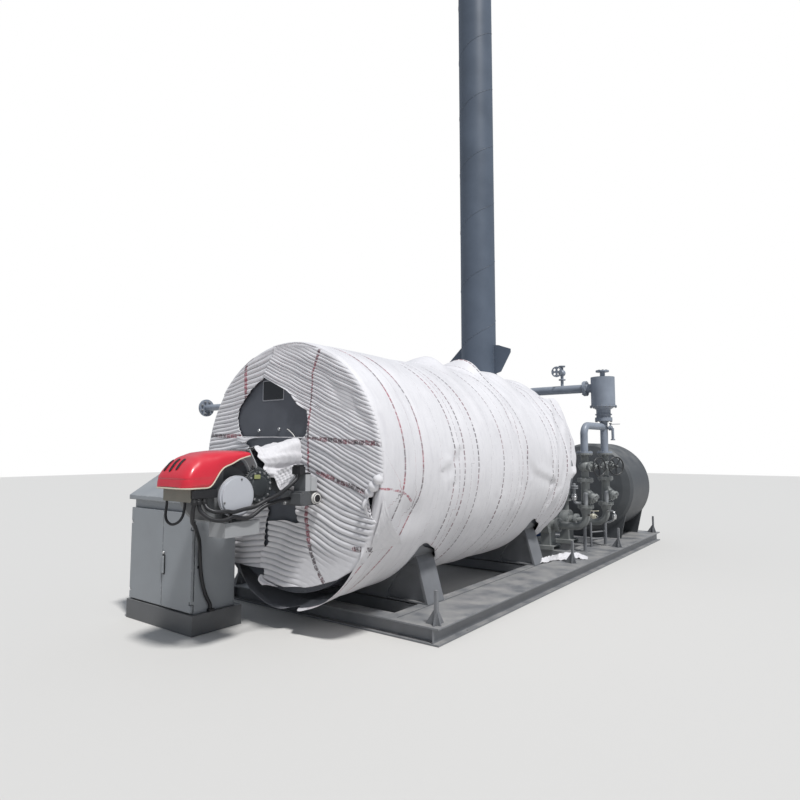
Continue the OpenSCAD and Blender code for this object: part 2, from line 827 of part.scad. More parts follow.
module header_pipe() {
    hz = sep_z + 255;
    x1 = riser2_x - sep_d / 2 - 80;
    br = 150;
    color("#8b929c")
        skid_frame()
            difference() {
                union() {
                    rod_x(100, x1 - 20, x1, riser2_y, hz);
                    rod_x(57, header_x + br, x1, riser2_y, hz);
                    translate([header_x, riser2_y, hz - br])
                        quarter(57, br);
                    rod_z(57, header_in_z + br, hz - br, header_x, riser2_y);
                    translate([header_x, riser2_y, header_in_z + br])
                        rotate([0, 0, -90])
                            mirror([0, 0, 1])
                                quarter(57, br);
                    rod_y(pipe_d / 2, rear_y - blanket_t, riser2_y - br, header_x, header_in_z);
                    rod_y(57, rear_y + 60, riser2_y - br, header_x, header_in_z);
                    rod_z(20, hz, hz + 333, branch_x, riser2_y);
                    rod_z(46, hz + 132, hz + 146, branch_x, riser2_y);
                    rod_z(46, hz + 319, hz + 333, branch_x, riser2_y);
                    translate([branch_x, riser2_y, hz + 232])
                        sphere(r = 48);
                    rod_y(11, riser2_y - 190, riser2_y, branch_x, hz + 232);
                    rod_y(30, riser2_y - 62, riser2_y - 40, branch_x, hz + 232);
                    rod_y(72, riser2_y - 196, riser2_y - 184, branch_x, hz + 232);
                }
                for (a = [0 : 90 : 270])
                    rod_y(17, riser2_y - 200, riser2_y - 180, branch_x + 40 * cos(a + 45), hz + 232 + 40 * sin(a + 45));
            }
}

branch_x = 365;
bend_r = 115;
bend_z = 1640;
cock_z = 1622;

module u_bend() {
    reach = norm([riser2_x - riser1_x, riser2_y - riser1_y]);
    color("#8f959c")
        skid_frame() {
            translate([riser1_x, riser1_y, 0])
                rotate([0, 0, atan2(riser2_y - riser1_y, riser2_x - riser1_x)]) {
                    rod_z(pflange_d / 2, joint_1, joint_1 + pflange_t, 0, 0);
                    rod_z(pflange_d / 2, joint_1, joint_1 + pflange_t, reach, 0);
                    rod_z(pipe_d / 2, joint_1, bend_z - bend_r, 0, 0);
                    translate([0, 0, bend_z - bend_r])
                        quarter(pipe_d / 2, bend_r);
                    rod_x(pipe_d / 2, bend_r, reach - 20, 0, bend_z);
                    rod_z(pipe_d / 2 + 3, joint_1, neck_joint, reach, 0);
                    rod_z(108, neck_joint - 22, neck_joint, reach, 0);
                }
            rod_x(17, riser2_x, riser2_x + 112, riser2_y, cock_z);
            rod_z(17, cock_z - 150, cock_z, riser2_x + 112, riser2_y);
            rod_x(31, riser2_x + 66, riser2_x + 104, riser2_y, cock_z);
            rod_z(9, cock_z, cock_z + 52, riser2_x + 85, riser2_y);
            block(riser2_x + 76, riser2_x + 205, riser2_y - 9, riser2_y + 9, cock_z + 46, cock_z + 53);
            rod_z(27, cock_z - 158, cock_z - 142, riser2_x + 112, riser2_y);
        }
}

// Globe valve between two flanges with its stem along +X before the turn
module globe_valve(x, y, turn) {
    mid = (joint_1 + joint_2) / 2;
    rod_z(pflange_d / 2, joint_1 - pflange_t, joint_1, x, y);
    rod_z(pflange_d / 2, joint_2, joint_2 + pflange_t, x, y);
    rod_z(pipe_d / 2, joint_2, joint_1, x, y);
    translate([x, y, mid]) {
        sphere(r = 74);
        rotate([0, 0, -turn]) {
            rod_x(46, 0, 96, 0, 0);
            rod_x(62, 84, 106, 0, 0);
            rod_x(17, 100, 190, 0, 0);
            rod_x(stem_r, 180, stem_l + 34, 0, 0);
        }
    }
}

stem_l = 215;
stem_r = 9;

// Spoked wheel on its stem with its axis along +X before the turn
module handwheel(x, y, turn) {
    mid = (joint_1 + joint_2) / 2;
    translate([x, y, mid])
        rotate([0, 0, -turn])
            translate([stem_l, 0, 0])
                rotate([0, 90, 0])
                    difference() {
                        union() {
                            rotate_extrude()
                                translate([wheel_d / 2 - 9, 0])
                                    circle(9, $fn = 24);
                            cylinder(r = 24, h = 28, center = true);
                            for (a = [0 : 72 : 288])
                                rotate([0, 0, a])
                                    translate([18, -6, -5])
                                        cube([wheel_d / 2 - 30, 12, 10]);
                        }
                        cylinder(r = stem_r + run_gap, h = 60, center = true);
                    }
}

module globe_valve_left() {
    color("#6f7672")
        skid_frame()
            globe_valve(riser1_x, riser1_y, stem1_turn);
}

module globe_valve_right() {
    color("#6f7672")
        skid_frame()
            globe_valve(riser2_x, riser2_y, stem2_turn);
}

module handwheel_left() {
    color("#2b2e31")
        skid_frame()
            handwheel(riser1_x, riser1_y, stem1_turn);
}

module handwheel_right() {
    color("#2b2e31")
        skid_frame()
            handwheel(riser2_x, riser2_y, stem2_turn);
}

// Strainer with an angled screen pocket
module strainer(x, y, turn) {
    rod_z(pflange_d / 2, joint_2 - pflange_t, joint_2, x, y);
    rod_z(pflange_d / 2, joint_3, joint_3 + pflange_t, x, y);
    rod_z(pipe_d / 2 + 6, joint_3, joint_2, x, y);
    translate([x, y, (joint_2 + joint_3) / 2 + 30])
        rotate([0, 0, -turn])
            rotate([0, 128, 0]) {
                cylinder(r = 50, h = 150);
                translate([0, 0, 140])
                    cylinder(r = 68, h = 22);
            }
}

module strainers() {
    color("#707672")
        skid_frame() {
            strainer(riser1_x, riser1_y, 14);
            strainer(riser2_x, riser2_y, 14);
        }
}

pump_face = 520;

// Suction bend, pump casing and foot, shaft along X
module pump(x, y) {
    br = joint_3 - pump_z - 120;
    difference() {
        union() {
            rod_z(pflange_d / 2, joint_3 - pflange_t, joint_3, x, y);
            translate([x, y, pump_z + br])
                cylinder(r1 = pipe_d / 2, r2 = pipe_d / 2 + 34, h = joint_3 - pump_z - br - 2);
            translate([x, y, pump_z + br])
                rotate([0, 0, 180])
                    mirror([0, 0, 1])
                        quarter(pipe_d / 2, br);
            rod_x(pipe_d / 2, pump_face, x - br, y, pump_z);
            rod_x(pflange_d / 2 - 8, pump_face, pump_face + pflange_t, y, pump_z);
            rod_x(pflange_d / 2 - 8, pump_face - pflange_t, pump_face, y, pump_z);
            rod_x(60, disch_x, pump_face, y, pump_z);
            rod_x(135, disch_x - 55, disch_x + 55, y, pump_z);
            rod_x(70, 150, disch_x, y, pump_z);
            rod_z(36, pump_z, 660, disch_x, y);
            block(disch_x - 60, disch_x + 60, y - 90, y + 90, skid_h + 40, pump_z);
            block(-420, disch_x + 110, y - 130, y + 130, skid_h - 8, skid_h + 41);
        }
        block(-430, disch_x + 120, y - 90, y + 90, skid_h - 9, skid_h + 28);
    }
}

module pump_left() {
    color("#6b7070")
        skid_frame()
            pump(riser1_x, riser1_y);
}

module pump_right() {
    color("#6b7070")
        skid_frame()
            pump(riser2_x, riser2_y);
}

module pump_motor(y) {
    rod_x(118, -330, 60, y, pump_z);
    rod_x(126, -345, -300, y, pump_z);
    rod_x(60, 60, 130, y, pump_z);
    rod_x(22, 125, 150, y, pump_z);
    block(-250, -10, y - 100, y + 100, skid_h + 41, pump_z - 60);
    block(-160, -50, y - 55, y + 55, pump_z + 80, pump_z + 165);
}

module pump_motors() {
    color("#1f4a86")
        skid_frame() {
            pump_motor(riser1_y);
            pump_motor(riser2_y);
        }
}

module discharge_header() {
    color("#6f7672")
        skid_frame() {
            for (y = [riser1_y, riser2_y]) {
                rod_z(70, 660, 682, disch_x, y);
                rod_z(38, 660, disch_z, disch_x, y);
                rod_z(58, 740, 830, disch_x, y);
                rod_x(24, disch_x - 110, disch_x, y, 785);
            }
            rod_y(pipe_d / 2, rear_y - blanket_t, riser2_y + 60, disch_x, disch_z);
        }
}

// Posts under the suction bends, with a side post and two rungs between
module pipe_stand() {
    br = joint_3 - pump_z - 120;
    color("#7b8084")
        skid_frame() {
            difference() {
                for (p = [[riser1_x, riser1_y], [riser2_x, riser2_y]])
                    rod_z(20, skid_h, pump_z + br, p[0] - 20, p[1]);
                for (p = [[riser1_x, riser1_y], [riser2_x, riser2_y]])
                    translate([p[0] - br, p[1], pump_z + br])
                        rotate([90, 0, 0])
                            difference() {
                                cylinder(r = br + pipe_d / 2 + seat, h = 120, center = true);
                                translate([0, 200, 0])
                                    cube([900, 400, 200], center = true);
                            }
            }
            for (p = [[riser1_x, riser1_y], [riser2_x, riser2_y]])
                block(p[0] - 60, p[0] + 20, p[1] - 60, p[1] + 60, skid_h, skid_h + 8);
            rod_z(13, skid_h, 420, riser2_x - 125, riser2_y - 233);
            for (z = [215, 300])
                translate([riser2_x - 125, riser2_y - 233, z])
                    rotate([0, 0, atan2(233, 105)])
                        rod_x(9, 0, norm([105, 233]), 0, 0);
        }
}

// Tank along Y with stepped cone ends, drawn in by the given inset
module drum_form(inset) {
    r = drum_d / 2 - inset;
    y0 = drum_y + inset;
    y1 = drum_y + drum_l - inset;
    translate([drum_x, 0, drum_z])
        rotate([-90, 0, 0])
            rotate_extrude()
                polygon([[0, y0], [r * 0.5, y0 + 14], [r * 0.8, y0 + 44], [r * 0.95, y0 + 78], [r, y0 + 120],
                    [r, y1 - 120], [r * 0.95, y1 - 78], [r * 0.8, y1 - 44], [r * 0.5, y1 - 14], [0, y1]]);
}

module rear_drum() {
    color("#4b4f53")
        skid_frame() {
            difference() {
                drum_form(0);
                drum_form(drum_t);
            }
            for (y = [drum_y + foot_in, drum_y + drum_l - foot_in])
                difference() {
                    end_plate(y - 12, y + 12)
                        polygon([[drum_x - 430, skid_h - flange_t - seat], [strip_x - 8, skid_h - flange_t - seat],
                            [strip_x - 8, skid_h], [drum_x + 430, skid_h], [drum_x + 520, 520], [drum_x - 520, 520]]);
                    rod_y(drum_d / 2 - 4, y - 20, y + 20, drum_x, drum_z);
                }
        }
}

skid_beam_right();
skid_beam_left();
skid_end_beams();
skid_cross_members();
lifting_lugs();
saddles();
shell();
front_end();
rear_end();
front_box();
wrap_side();
wrap_front();
stack_base();
stack();
oil_nozzle();
burner_body();
burner_hood();
burner_tray();
air_damper();
fan_motor();
gas_train();
cable_clips();
conduit_cabinet();
conduit_loop();
conduit_upper();
conduit_lower();
cabinet_plinth();
cabinet_body();
cabinet_top();
cabinet_door_left();
cabinet_door_right();
separator();
header_pipe();
u_bend();
globe_valve_left();
globe_valve_right();
handwheel_left();
handwheel_right();
strainers();
pump_left();
pump_right();
pump_motors();
discharge_header();
pipe_stand();
rear_drum();
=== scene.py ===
import bpy
import json
import math
import numpy as np
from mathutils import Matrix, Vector


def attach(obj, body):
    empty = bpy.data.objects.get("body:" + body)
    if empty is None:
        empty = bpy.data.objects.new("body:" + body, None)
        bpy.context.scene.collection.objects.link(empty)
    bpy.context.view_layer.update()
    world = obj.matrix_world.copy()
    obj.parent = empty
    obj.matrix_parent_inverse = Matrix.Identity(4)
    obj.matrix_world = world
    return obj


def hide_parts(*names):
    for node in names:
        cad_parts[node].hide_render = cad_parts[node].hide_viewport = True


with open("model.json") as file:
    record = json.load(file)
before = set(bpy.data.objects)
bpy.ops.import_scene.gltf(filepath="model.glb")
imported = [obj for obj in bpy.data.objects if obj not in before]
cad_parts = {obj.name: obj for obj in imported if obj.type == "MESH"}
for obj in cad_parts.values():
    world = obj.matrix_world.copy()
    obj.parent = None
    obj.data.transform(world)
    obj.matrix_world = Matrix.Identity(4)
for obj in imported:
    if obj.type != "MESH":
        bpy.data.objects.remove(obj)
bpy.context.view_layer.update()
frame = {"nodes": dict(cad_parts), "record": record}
nodes = frame["nodes"]
frontY = -3.02  # the skid's front end in the row frame; shapes below count y from it
axisZ = 1.2  # height of the boiler axis
wrapR = 0.98  # outer radius of the wrap
rimY = -0.39  # front face of the wrap
rearY = 3.22  # rear face of the wrap
clothThick = 0.0016
toRight, toLeft, toFront, upward = (1, 0, 0), (-1, 0, 0), (0, -1, 0), (0, 0, 1)
print("stage: frame loaded")


# ---- mesh helpers: every surface is a grid of points worked out with whole arrays

def smoothStep(low, high, x):
    # t clipped to 0..1, then t * t * (3 - 2t)
    t = np.clip((x - low) / (high - low), 0.0, 1.0)
    return t * t * (3.0 - 2.0 * t)


def bell(x, middle, width):
    # exp(-((x - middle) / width)^2)
    return np.exp(-((x - middle) / width) ** 2)


def gridOf(rows, cols):
    # the values of rows down the grid and of cols across it
    return np.meshgrid(rows, cols, indexing="ij")


def joinFaces(name, points, quads, tris=None, smooth=True):
    # one mesh from quads and, where given, triangles
    tris = np.zeros((0, 3), int) if tris is None else tris
    loops = np.concatenate([quads.ravel(), tris.ravel()]).astype(np.int32)
    starts = np.concatenate([np.arange(len(quads)) * 4, len(quads) * 4 + np.arange(len(tris)) * 3])
    mesh = bpy.data.meshes.new(name)
    mesh.vertices.add(len(points))
    mesh.vertices.foreach_set("co", np.asarray(points, np.float32).ravel())
    mesh.loops.add(len(loops))
    mesh.loops.foreach_set("vertex_index", loops)
    mesh.polygons.add(len(starts))
    mesh.polygons.foreach_set("loop_start", starts.astype(np.int32))
    mesh.polygons.foreach_set("use_smooth", np.full(len(starts), smooth))
    mesh.update(calc_edges=True)
    mesh.validate()
    made = bpy.data.objects.new(name, mesh)
    bpy.context.scene.collection.objects.link(made)
    return made


def gridFaces(rows, cols, ring=False):
    # quad k of row i joins points (i, k), (i, k+1), (i+1, k+1), (i+1, k)
    i, k = gridOf(np.arange(rows - 1), np.arange(cols if ring else cols - 1))
    n = (k + 1) % cols
    return np.stack([i * cols + k, i * cols + n, (i + 1) * cols + n, (i + 1) * cols + k], -1).reshape(-1, 4)


def gridNormal(top, ring=False):
    # cross product of the steps along the columns and along the rows
    along = np.gradient(top, axis=0)
    across = (np.roll(top, -1, 1) - np.roll(top, 1, 1)) if ring else np.gradient(top, axis=1)
    normal = np.cross(across, along)
    return normal / np.maximum(np.linalg.norm(normal, axis=2, keepdims=True), 1e-9)


def facing(top, axis, sign):
    # the grid with its columns turned round where its normal points the wrong way along the axis
    return top if gridNormal(top)[..., axis].mean() * sign >= 0 else top[:, ::-1]


def cellAreas(top, ring=False):
    # half the cross product of each cell's two diagonals
    wide = np.concatenate([top, top[:, :1]], 1) if ring else top
    d1 = wide[1:, 1:] - wide[:-1, :-1]
    d2 = wide[1:, :-1] - wide[:-1, 1:]
    return np.linalg.norm(np.cross(d1, d2), axis=2) / 2


def clothMesh(name, top, thick, keep=None, ring=False):
    # a closed thin sheet: the grid, its copy moved inwards by thick along the normal, and walls where kept
    # cells end; spread gives the sheet's points the values of a grid
    rows, cols = top.shape[:2]
    cells = cols if ring else cols - 1
    keep = np.ones((rows - 1, cells), bool) if keep is None else keep
    under = top - gridNormal(top, ring) * thick
    quads = gridFaces(rows, cols, ring).reshape(rows - 1, cells, 4)
    count = rows * cols
    faces = [quads[keep], quads[keep][:, ::-1] + count]
    padded = np.zeros((rows + 1, cells + 2), bool)
    padded[1:-1, 1:-1] = keep
    if ring:
        padded[1:-1, 0] = keep[:, -1]
        padded[1:-1, -1] = keep[:, 0]
    sides = ((padded[:-2, 1:-1], 0, 1), (padded[2:, 1:-1], 2, 3), (padded[1:-1, :-2], 3, 0),
             (padded[1:-1, 2:], 1, 2))
    for other, first, second in sides:
        border = quads[keep & ~other]
        a, b = border[:, first], border[:, second]
        faces.append(np.stack([b, a, a + count, b + count], -1))
    faces = np.concatenate(faces)
    used = np.unique(faces)
    index = np.full(2 * count, -1)
    index[used] = np.arange(len(used))
    made = joinFaces(name, np.concatenate([top.reshape(-1, 3), under.reshape(-1, 3)])[used], index[faces])
    made["clothArea"] = float(cellAreas(top, ring)[keep].sum())

    def spread(values):
        return np.tile(np.broadcast_to(values, (rows, cols)).astype(float).ravel(), 2)[used]

    return made, spread


def clothFields(made, spread, u, v, seam=50.0, run=0.0, redness=0.0, paintedShade=0.0):
    # the four fields that the cloth's shader reads, and one UV pair a point, in metres
    for name, values in (("seam", seam), ("run", run), ("redness", redness), ("paintedShade", paintedShade)):
        field = made.data.attributes.new(name, "FLOAT", "POINT")
        field.data.foreach_set("value", spread(values).astype(np.float32))
    corner = np.empty(len(made.data.loops), np.int32)
    made.data.loops.foreach_get("vertex_index", corner)
    uv = np.stack([spread(u)[corner], spread(v)[corner]], -1)
    made.data.uv_layers.new(name="flat").data.foreach_set("uv", uv.astype(np.float32).ravel())


def splinePath(points, steps):
    # Catmull-Rom curve through the points, steps samples a span
    q = np.asarray(points, float)
    q = np.concatenate([[2 * q[0] - q[1]], q, [2 * q[-1] - q[-2]]])
    t = np.arange(steps)[:, None, None] / steps
    a, b, c, d = q[:-3][None], q[1:-2][None], q[2:-1][None], q[3:][None]
    curve = 0.5 * (2 * b + (c - a) * t + (2 * a - 5 * b + 4 * c - d) * t ** 2
                   + (3 * b - a - 3 * c + d) * t ** 3)
    return np.concatenate([curve.transpose(1, 0, 2).reshape(-1, 3), q[-2:-1]])


def endFans(sides, last):
    # triangles that close the first ring and the ring that starts at point last, each round a middle point
    k = np.arange(sides)
    n = (k + 1) % sides
    first = np.stack([n, k, np.full(sides, last + sides)], -1)
    return np.concatenate([first, np.stack([last + k, last + n, np.full(sides, last + sides + 1)], -1)])


def tubeMesh(name, path, radius, sides=12):
    # ring at each path point: p + r (cos a * u + sin a * v), with u, v carried along the path without twist
    path = np.asarray(path, float)
    way = np.gradient(path, axis=0)
    way /= np.linalg.norm(way, axis=1, keepdims=True)
    u = np.zeros_like(way)
    guide = np.array([0.0, 0.0, 1.0]) if abs(way[0][2]) < 0.9 else np.array([1.0, 0.0, 0.0])
    for i in range(len(path)):
        side = guide - way[i] * np.dot(guide, way[i])
        guide = side / np.linalg.norm(side)
        u[i] = guide
    v = np.cross(way, u)
    a = np.linspace(0, 2 * np.pi, sides, endpoint=False)[None, :, None]
    r = np.broadcast_to(np.asarray(radius, float), (len(path),))[:, None, None]
    rings = path[:, None] + r * (np.cos(a) * u[:, None] + np.sin(a) * v[:, None])
    points = np.concatenate([rings.reshape(-1, 3), path[:1], path[-1:]])
    fans = endFans(sides, (len(path) - 1) * sides)
    return joinFaces(name, points, gridFaces(len(path), sides, True)[:, ::-1], fans[:, ::-1])


def toFrame(points):
    moved = np.array(points, float)
    moved[..., 1] += frontY
    return moved


def dress(made, look, body="plant", node=None):
    # material and slot, the body that the piece rides, and the CAD node that it stands for
    made.data.materials.clear()
    made.data.materials.append(look)
    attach(made, body)
    if node:
        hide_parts(node)
    return made


# ---- shader helpers and shared node groups

def setInputs(tree, node, inputs):
    # numbers and colours are set, sockets are linked
    for label, value in inputs.items():
        socket = node.inputs[label]
        if isinstance(value, bpy.types.NodeSocket):
            tree.links.new(value, socket)
        elif socket.type == "RGBA":
            socket.default_value = (*value, 1.0)
        else:
            socket.default_value = value


def addNode(tree, kind, inputs=None, **settings):
    node = tree.nodes.new("ShaderNode" + kind)
    for label, value in settings.items():
        setattr(node, label, value)
    setInputs(tree, node, inputs or {})
    return node


def mathNode(tree, kind, a, b=0.5, clamp=False):
    return addNode(tree, "Math", {0: a, 1: b}, operation=kind, use_clamp=clamp).outputs[0]


def times(tree, *values):
    # product of all values, the last step clipped to 0..1
    total = values[0]
    for i, value in enumerate(values[1:], 2):
        total = mathNode(tree, "MULTIPLY", total, value, i == len(values))
    return total


def noiseNode(tree, vector, scale, detail=3.0, rough=0.55):
    inputs = {"Vector": vector, "Scale": scale, "Detail": detail, "Roughness": rough}
    return addNode(tree, "TexNoise", inputs).outputs["Fac"]


def mixColor(tree, factor, a, b):
    return addNode(tree, "Mix", {0: factor, 6: a, 7: b}, data_type="RGBA").outputs[2]


def mapRange(tree, value, low, high, toLow=0.0, toHigh=1.0):
    return addNode(tree, "MapRange", {0: value, 1: low, 2: high, 3: toLow, 4: toHigh}).outputs[0]


def bumpNode(tree, strength, distance, height, normal=None):
    inputs = {"Strength": strength, "Distance": distance, "Height": height}
    if normal:
        inputs["Normal"] = normal
    return addNode(tree, "Bump", inputs).outputs[0]


def newGroup(name, inputs, outputs):
    # a group whose sockets are numbers, apart from a Normal
    group = bpy.data.node_groups.new(name, "ShaderNodeTree")
    for label, value in inputs.items():
        socket = group.interface.new_socket(label, in_out="INPUT", socket_type="NodeSocketFloat")
        socket.default_value = value
    for label in outputs:
        kind = "NodeSocketVector" if label == "Normal" else "NodeSocketFloat"
        group.interface.new_socket(label, in_out="OUTPUT", socket_type=kind)
    return group, group.nodes.new("NodeGroupInput").outputs, group.nodes.new("NodeGroupOutput")


def buildWearGroup():
    # Edge: how far a bevelled normal leans from the true one, broken up by noise; Blotch: soft paint
    # variation; Dust: faces that look up, under noise; Grain: fine height for the bump
    group, given, result = newGroup("wearGroup", {"Radius": 0.006, "Size": 6.0},
                                    ("Edge", "Blotch", "Dust", "Grain", "Normal"))
    coord = addNode(group, "TexCoord").outputs["Object"]
    bevel = addNode(group, "Bevel", {"Radius": given["Radius"]}, samples=4).outputs[0]
    normal = addNode(group, "NewGeometry").outputs["Normal"]
    dot = addNode(group, "VectorMath", {0: bevel, 1: normal}, operation="DOT_PRODUCT").outputs["Value"]
    blotch = noiseNode(group, coord, given["Size"], 4.0, 0.5)
    fine = noiseNode(group, coord, 45.0, 4.0)
    up = mapRange(group, addNode(group, "SeparateXYZ", {0: normal}).outputs["Z"], 0.3, 0.95)
    edge = times(group, mapRange(group, dot, 0.985, 0.90), mapRange(group, fine, 0.50, 0.62))
    dust = times(group, up, mapRange(group, blotch, 0.35, 0.7))
    setInputs(group, result, {"Edge": edge, "Blotch": blotch, "Dust": dust, "Grain": fine, "Normal": bevel})
    return group


def buildWeaveGroup():
    # two crossing sets of flat tapes: height = |sin| of one set or the other, swapped on a checker
    group, given, result = newGroup("weaveGroup", {"Pitch": 0.004}, ("Height", "Tone"))
    place = addNode(group, "SeparateXYZ", {0: addNode(group, "UVMap").outputs[0]}).outputs
    u, v = (mathNode(group, "DIVIDE", place[axis], given["Pitch"]) for axis in "XY")
    wave = [mathNode(group, "ABSOLUTE", mathNode(group, "SINE", mathNode(group, "MULTIPLY", way, math.pi)))
            for way in (u, v)]
    cell = mathNode(group, "ADD", mathNode(group, "FLOOR", u), mathNode(group, "FLOOR", v))
    over = mathNode(group, "ABSOLUTE", mathNode(group, "MODULO", cell, 2.0))
    height = mathNode(group, "ADD", mathNode(group, "MULTIPLY", wave[0], over),
                      mathNode(group, "MULTIPLY", wave[1], mathNode(group, "SUBTRACT", 1.0, over)))
    setInputs(group, result, {"Height": height, "Tone": over})
    return group


wearGroup = buildWearGroup()
weaveGroup = buildWeaveGroup()


def newMaterial(name):
    material = bpy.data.materials.new(name)
    material.use_nodes = True
    return material, material.node_tree, material.node_tree.nodes["Principled BSDF"]


def paintMaterial(name, color, rough=0.45, metal=0.0, edgeWearAndHighlight=(0.30, 0.29, 0.28), dust=0.25, edge=0.6,
                  radius=0.006, size=6.0, bump=0.12, coat=0.0, blotch=0.12):
    # painted or cast metal: base colour varied by blotches, lighter worn edges (on the cabinet wide and
    # pale, also a painted highlight along its lit edges), dust on faces that look up
    material, tree, shader = newMaterial(name)
    group = tree.nodes.new("ShaderNodeGroup")
    group.node_tree = wearGroup
    setInputs(tree, group, {"Radius": radius, "Size": size})
    worn = group.outputs
    dark = tuple(c * (1.0 - blotch) for c in color)
    light = tuple(min(1.0, c * (1.0 + blotch)) for c in color)
    base = mixColor(tree, mapRange(tree, worn["Blotch"], 0.3, 0.7), dark, light)
    dusty = mixColor(tree, mathNode(tree, "MULTIPLY", worn["Dust"], dust), base, (0.42, 0.40, 0.37))
    setInputs(tree, shader, {
        "Base Color": mixColor(tree, mathNode(tree, "MULTIPLY", worn["Edge"], edge), dusty, edgeWearAndHighlight),
        "Roughness": mapRange(tree, worn["Blotch"], 0.2, 0.8, rough - 0.07, rough + 0.1),
        "Metallic": metal, "Coat Weight": coat, "Coat Roughness": 0.15,
        "Normal": bumpNode(tree, bump, 0.002, worn["Grain"], worn["Normal"])})
    return material


def placeLook(name, nodeName, color, rough, layers):
    # a CAD node's paint that changes by place: each layer is a mask from the coordinates and its colour
    material = paintMaterial(name, color, rough=rough)
    tree = material.node_tree
    shader = tree.nodes["Principled BSDF"]
    place = addNode(tree, "SeparateXYZ", {0: addNode(tree, "TexCoord").outputs["Object"]}).outputs
    shade = shader.inputs["Base Color"].links[0].from_socket
    for mask, over in layers:
        shade = mixColor(tree, mask(tree, place), shade, over)
    setInputs(tree, shader, {"Base Color": shade})
    nodes[nodeName].data.materials.clear()
    nodes[nodeName].data.materials.append(material)
    return material


def fabricMaterial(name, color):
    # woven plastic cloth: weave bump, soft dirt, dashes where the seam field is near zero, and painted
    # shade: dark grey mixed in down the rib valleys and on the loose edge in shadow
    material, tree, shader = newMaterial(name)
    weave = tree.nodes.new("ShaderNodeGroup")
    weave.node_tree = weaveGroup
    seam, run, redness, paintedShade = (addNode(tree, "Attribute", attribute_name=field).outputs["Fac"]
                                  for field in ("seam", "run", "redness", "paintedShade"))
    coord = addNode(tree, "TexCoord").outputs["Object"]
    stretched = addNode(tree, "Mapping", {"Vector": coord, "Scale": (1.3, 6.5, 1.3)}).outputs[0]
    soil = noiseNode(tree, coord, 1.7, 5.0, 0.6)
    streak = noiseNode(tree, stretched, 3.2, 5.0, 0.62)
    crease = mathNode(tree, "ADD", noiseNode(tree, coord, 7.0, 4.0, 0.6),
                      mathNode(tree, "MULTIPLY", streak, 1.1))
    onLine = mapRange(tree, mathNode(tree, "ABSOLUTE", seam), 1.15, 0.85)
    longer = mathNode(tree, "MULTIPLY", mathNode(tree, "GREATER_THAN", redness, 0.58), 0.16)
    dashPlace = mathNode(tree, "FRACT", mathNode(tree, "MULTIPLY", run, 1 / 0.05))
    dash = mathNode(tree, "LESS_THAN", dashPlace, mathNode(tree, "ADD", longer, 0.74))
    broken = mapRange(tree, noiseNode(tree, coord, 14.0, 2.0), 0.30, 0.40)
    fuzz = mapRange(tree, noiseNode(tree, coord, 95.0, 2.0), 0.36, 0.56, 0.45, 1.0)
    sewn = times(tree, onLine, fuzz, dash, broken, mathNode(tree, "GREATER_THAN", redness, 0.01))
    fleck = times(tree, redness, mapRange(tree, noiseNode(tree, coord, 5.0, 3.0), 0.42, 0.64))
    thread = mixColor(tree, times(tree, fleck, 1.6), (0.050, 0.032, 0.040), (0.36, 0.035, 0.065))
    shade = mixColor(tree, mapRange(tree, soil, 0.35, 0.68), color, tuple(c * 0.88 for c in color))
    shade = mixColor(tree, mapRange(tree, streak, 0.52, 0.70, 0.0, 0.22), shade, (0.46, 0.44, 0.47))
    shade = mixColor(tree, mathNode(tree, "MULTIPLY", weave.outputs["Tone"], 0.05), shade,
                     (0.62, 0.60, 0.62))
    # painted shade: dark grey mixed in by the fourth field, in the rib valleys and on the shaded loose edge
    shade = mixColor(tree, times(tree, paintedShade, 0.62), shade, (0.17, 0.17, 0.185))
    shade = mixColor(tree, mathNode(tree, "MULTIPLY", sewn, 0.92), shade, thread)
    relief = bumpNode(tree, 0.5, 0.0006, weave.outputs["Height"])
    setInputs(tree, shader, {"Base Color": shade, "Roughness": 0.55, "Sheen Weight": 0.15,
                             "Normal": bumpNode(tree, 0.35, 0.012, crease, relief)})
    return material


slotLooks = {
    "skid_paint": dict(color=(0.175, 0.18, 0.19), dust=0.50, edge=0.45),
    "shell_steel": dict(color=(0.085, 0.092, 0.108), rough=0.5, dust=0.2),
    "stack_paint": dict(color=(0.095, 0.118, 0.155), rough=0.42, dust=0.1, size=2.5),
    "pipe_paint": dict(color=(0.25, 0.28, 0.33), rough=0.4),
    "burner_grey": dict(color=(0.235, 0.24, 0.25)),
    "hood_red": dict(color=(0.62, 0.020, 0.040), rough=0.32, coat=0.3, dust=0.08, edge=0.25, bump=0.04,
                     blotch=0.05),
    "tray_beige": dict(color=(0.20, 0.185, 0.15), rough=0.5),
    "damper_grey": dict(color=(0.47, 0.48, 0.51), rough=0.42, blotch=0.04),
    "motor_dark": dict(color=(0.035, 0.040, 0.043)),
    # the cabinet's pale, wide edges are worn paint and also a painted highlight where light catches the
    # edges
    "cabinet_paint": dict(color=(0.265, 0.28, 0.295), rough=0.4, blotch=0.05, dust=0.15, edge=0.85,
                          edgeWearAndHighlight=(0.52, 0.53, 0.53), radius=0.010),
    "plinth_paint": dict(color=(0.11, 0.112, 0.115), rough=0.5),
    "valve_iron": dict(color=(0.21, 0.22, 0.215), rough=0.5, bump=0.3, dust=0.3),
    "wheel_black": dict(color=(0.025, 0.026, 0.028), rough=0.35, radius=0.002),
    "motor_blue": dict(color=(0.02, 0.07, 0.22), rough=0.35),
    "drum_paint": dict(color=(0.07, 0.075, 0.08), rough=0.5),
    "cable_black": dict(color=(0.013, 0.013, 0.015), edge=0.0, dust=0.1),
}
paints = {slot: paintMaterial("look_" + slot, **look) for slot, look in slotLooks.items()}
clothWhite = fabricMaterial("look_wrap_fabric", (0.74, 0.725, 0.74))
slotOf = {row["node"]: row["material_slot"] for row in frame["record"]["subparts"]}
for nodeName, nodeObject in nodes.items():
    nodeObject.data.materials.clear()
    nodeObject.data.materials.append(paints.get(slotOf[nodeName], clothWhite))
print("stage: materials ready")


# ---- side wrap: a long sock of woven cloth with sewn rings, cut away round the saddles and the stack

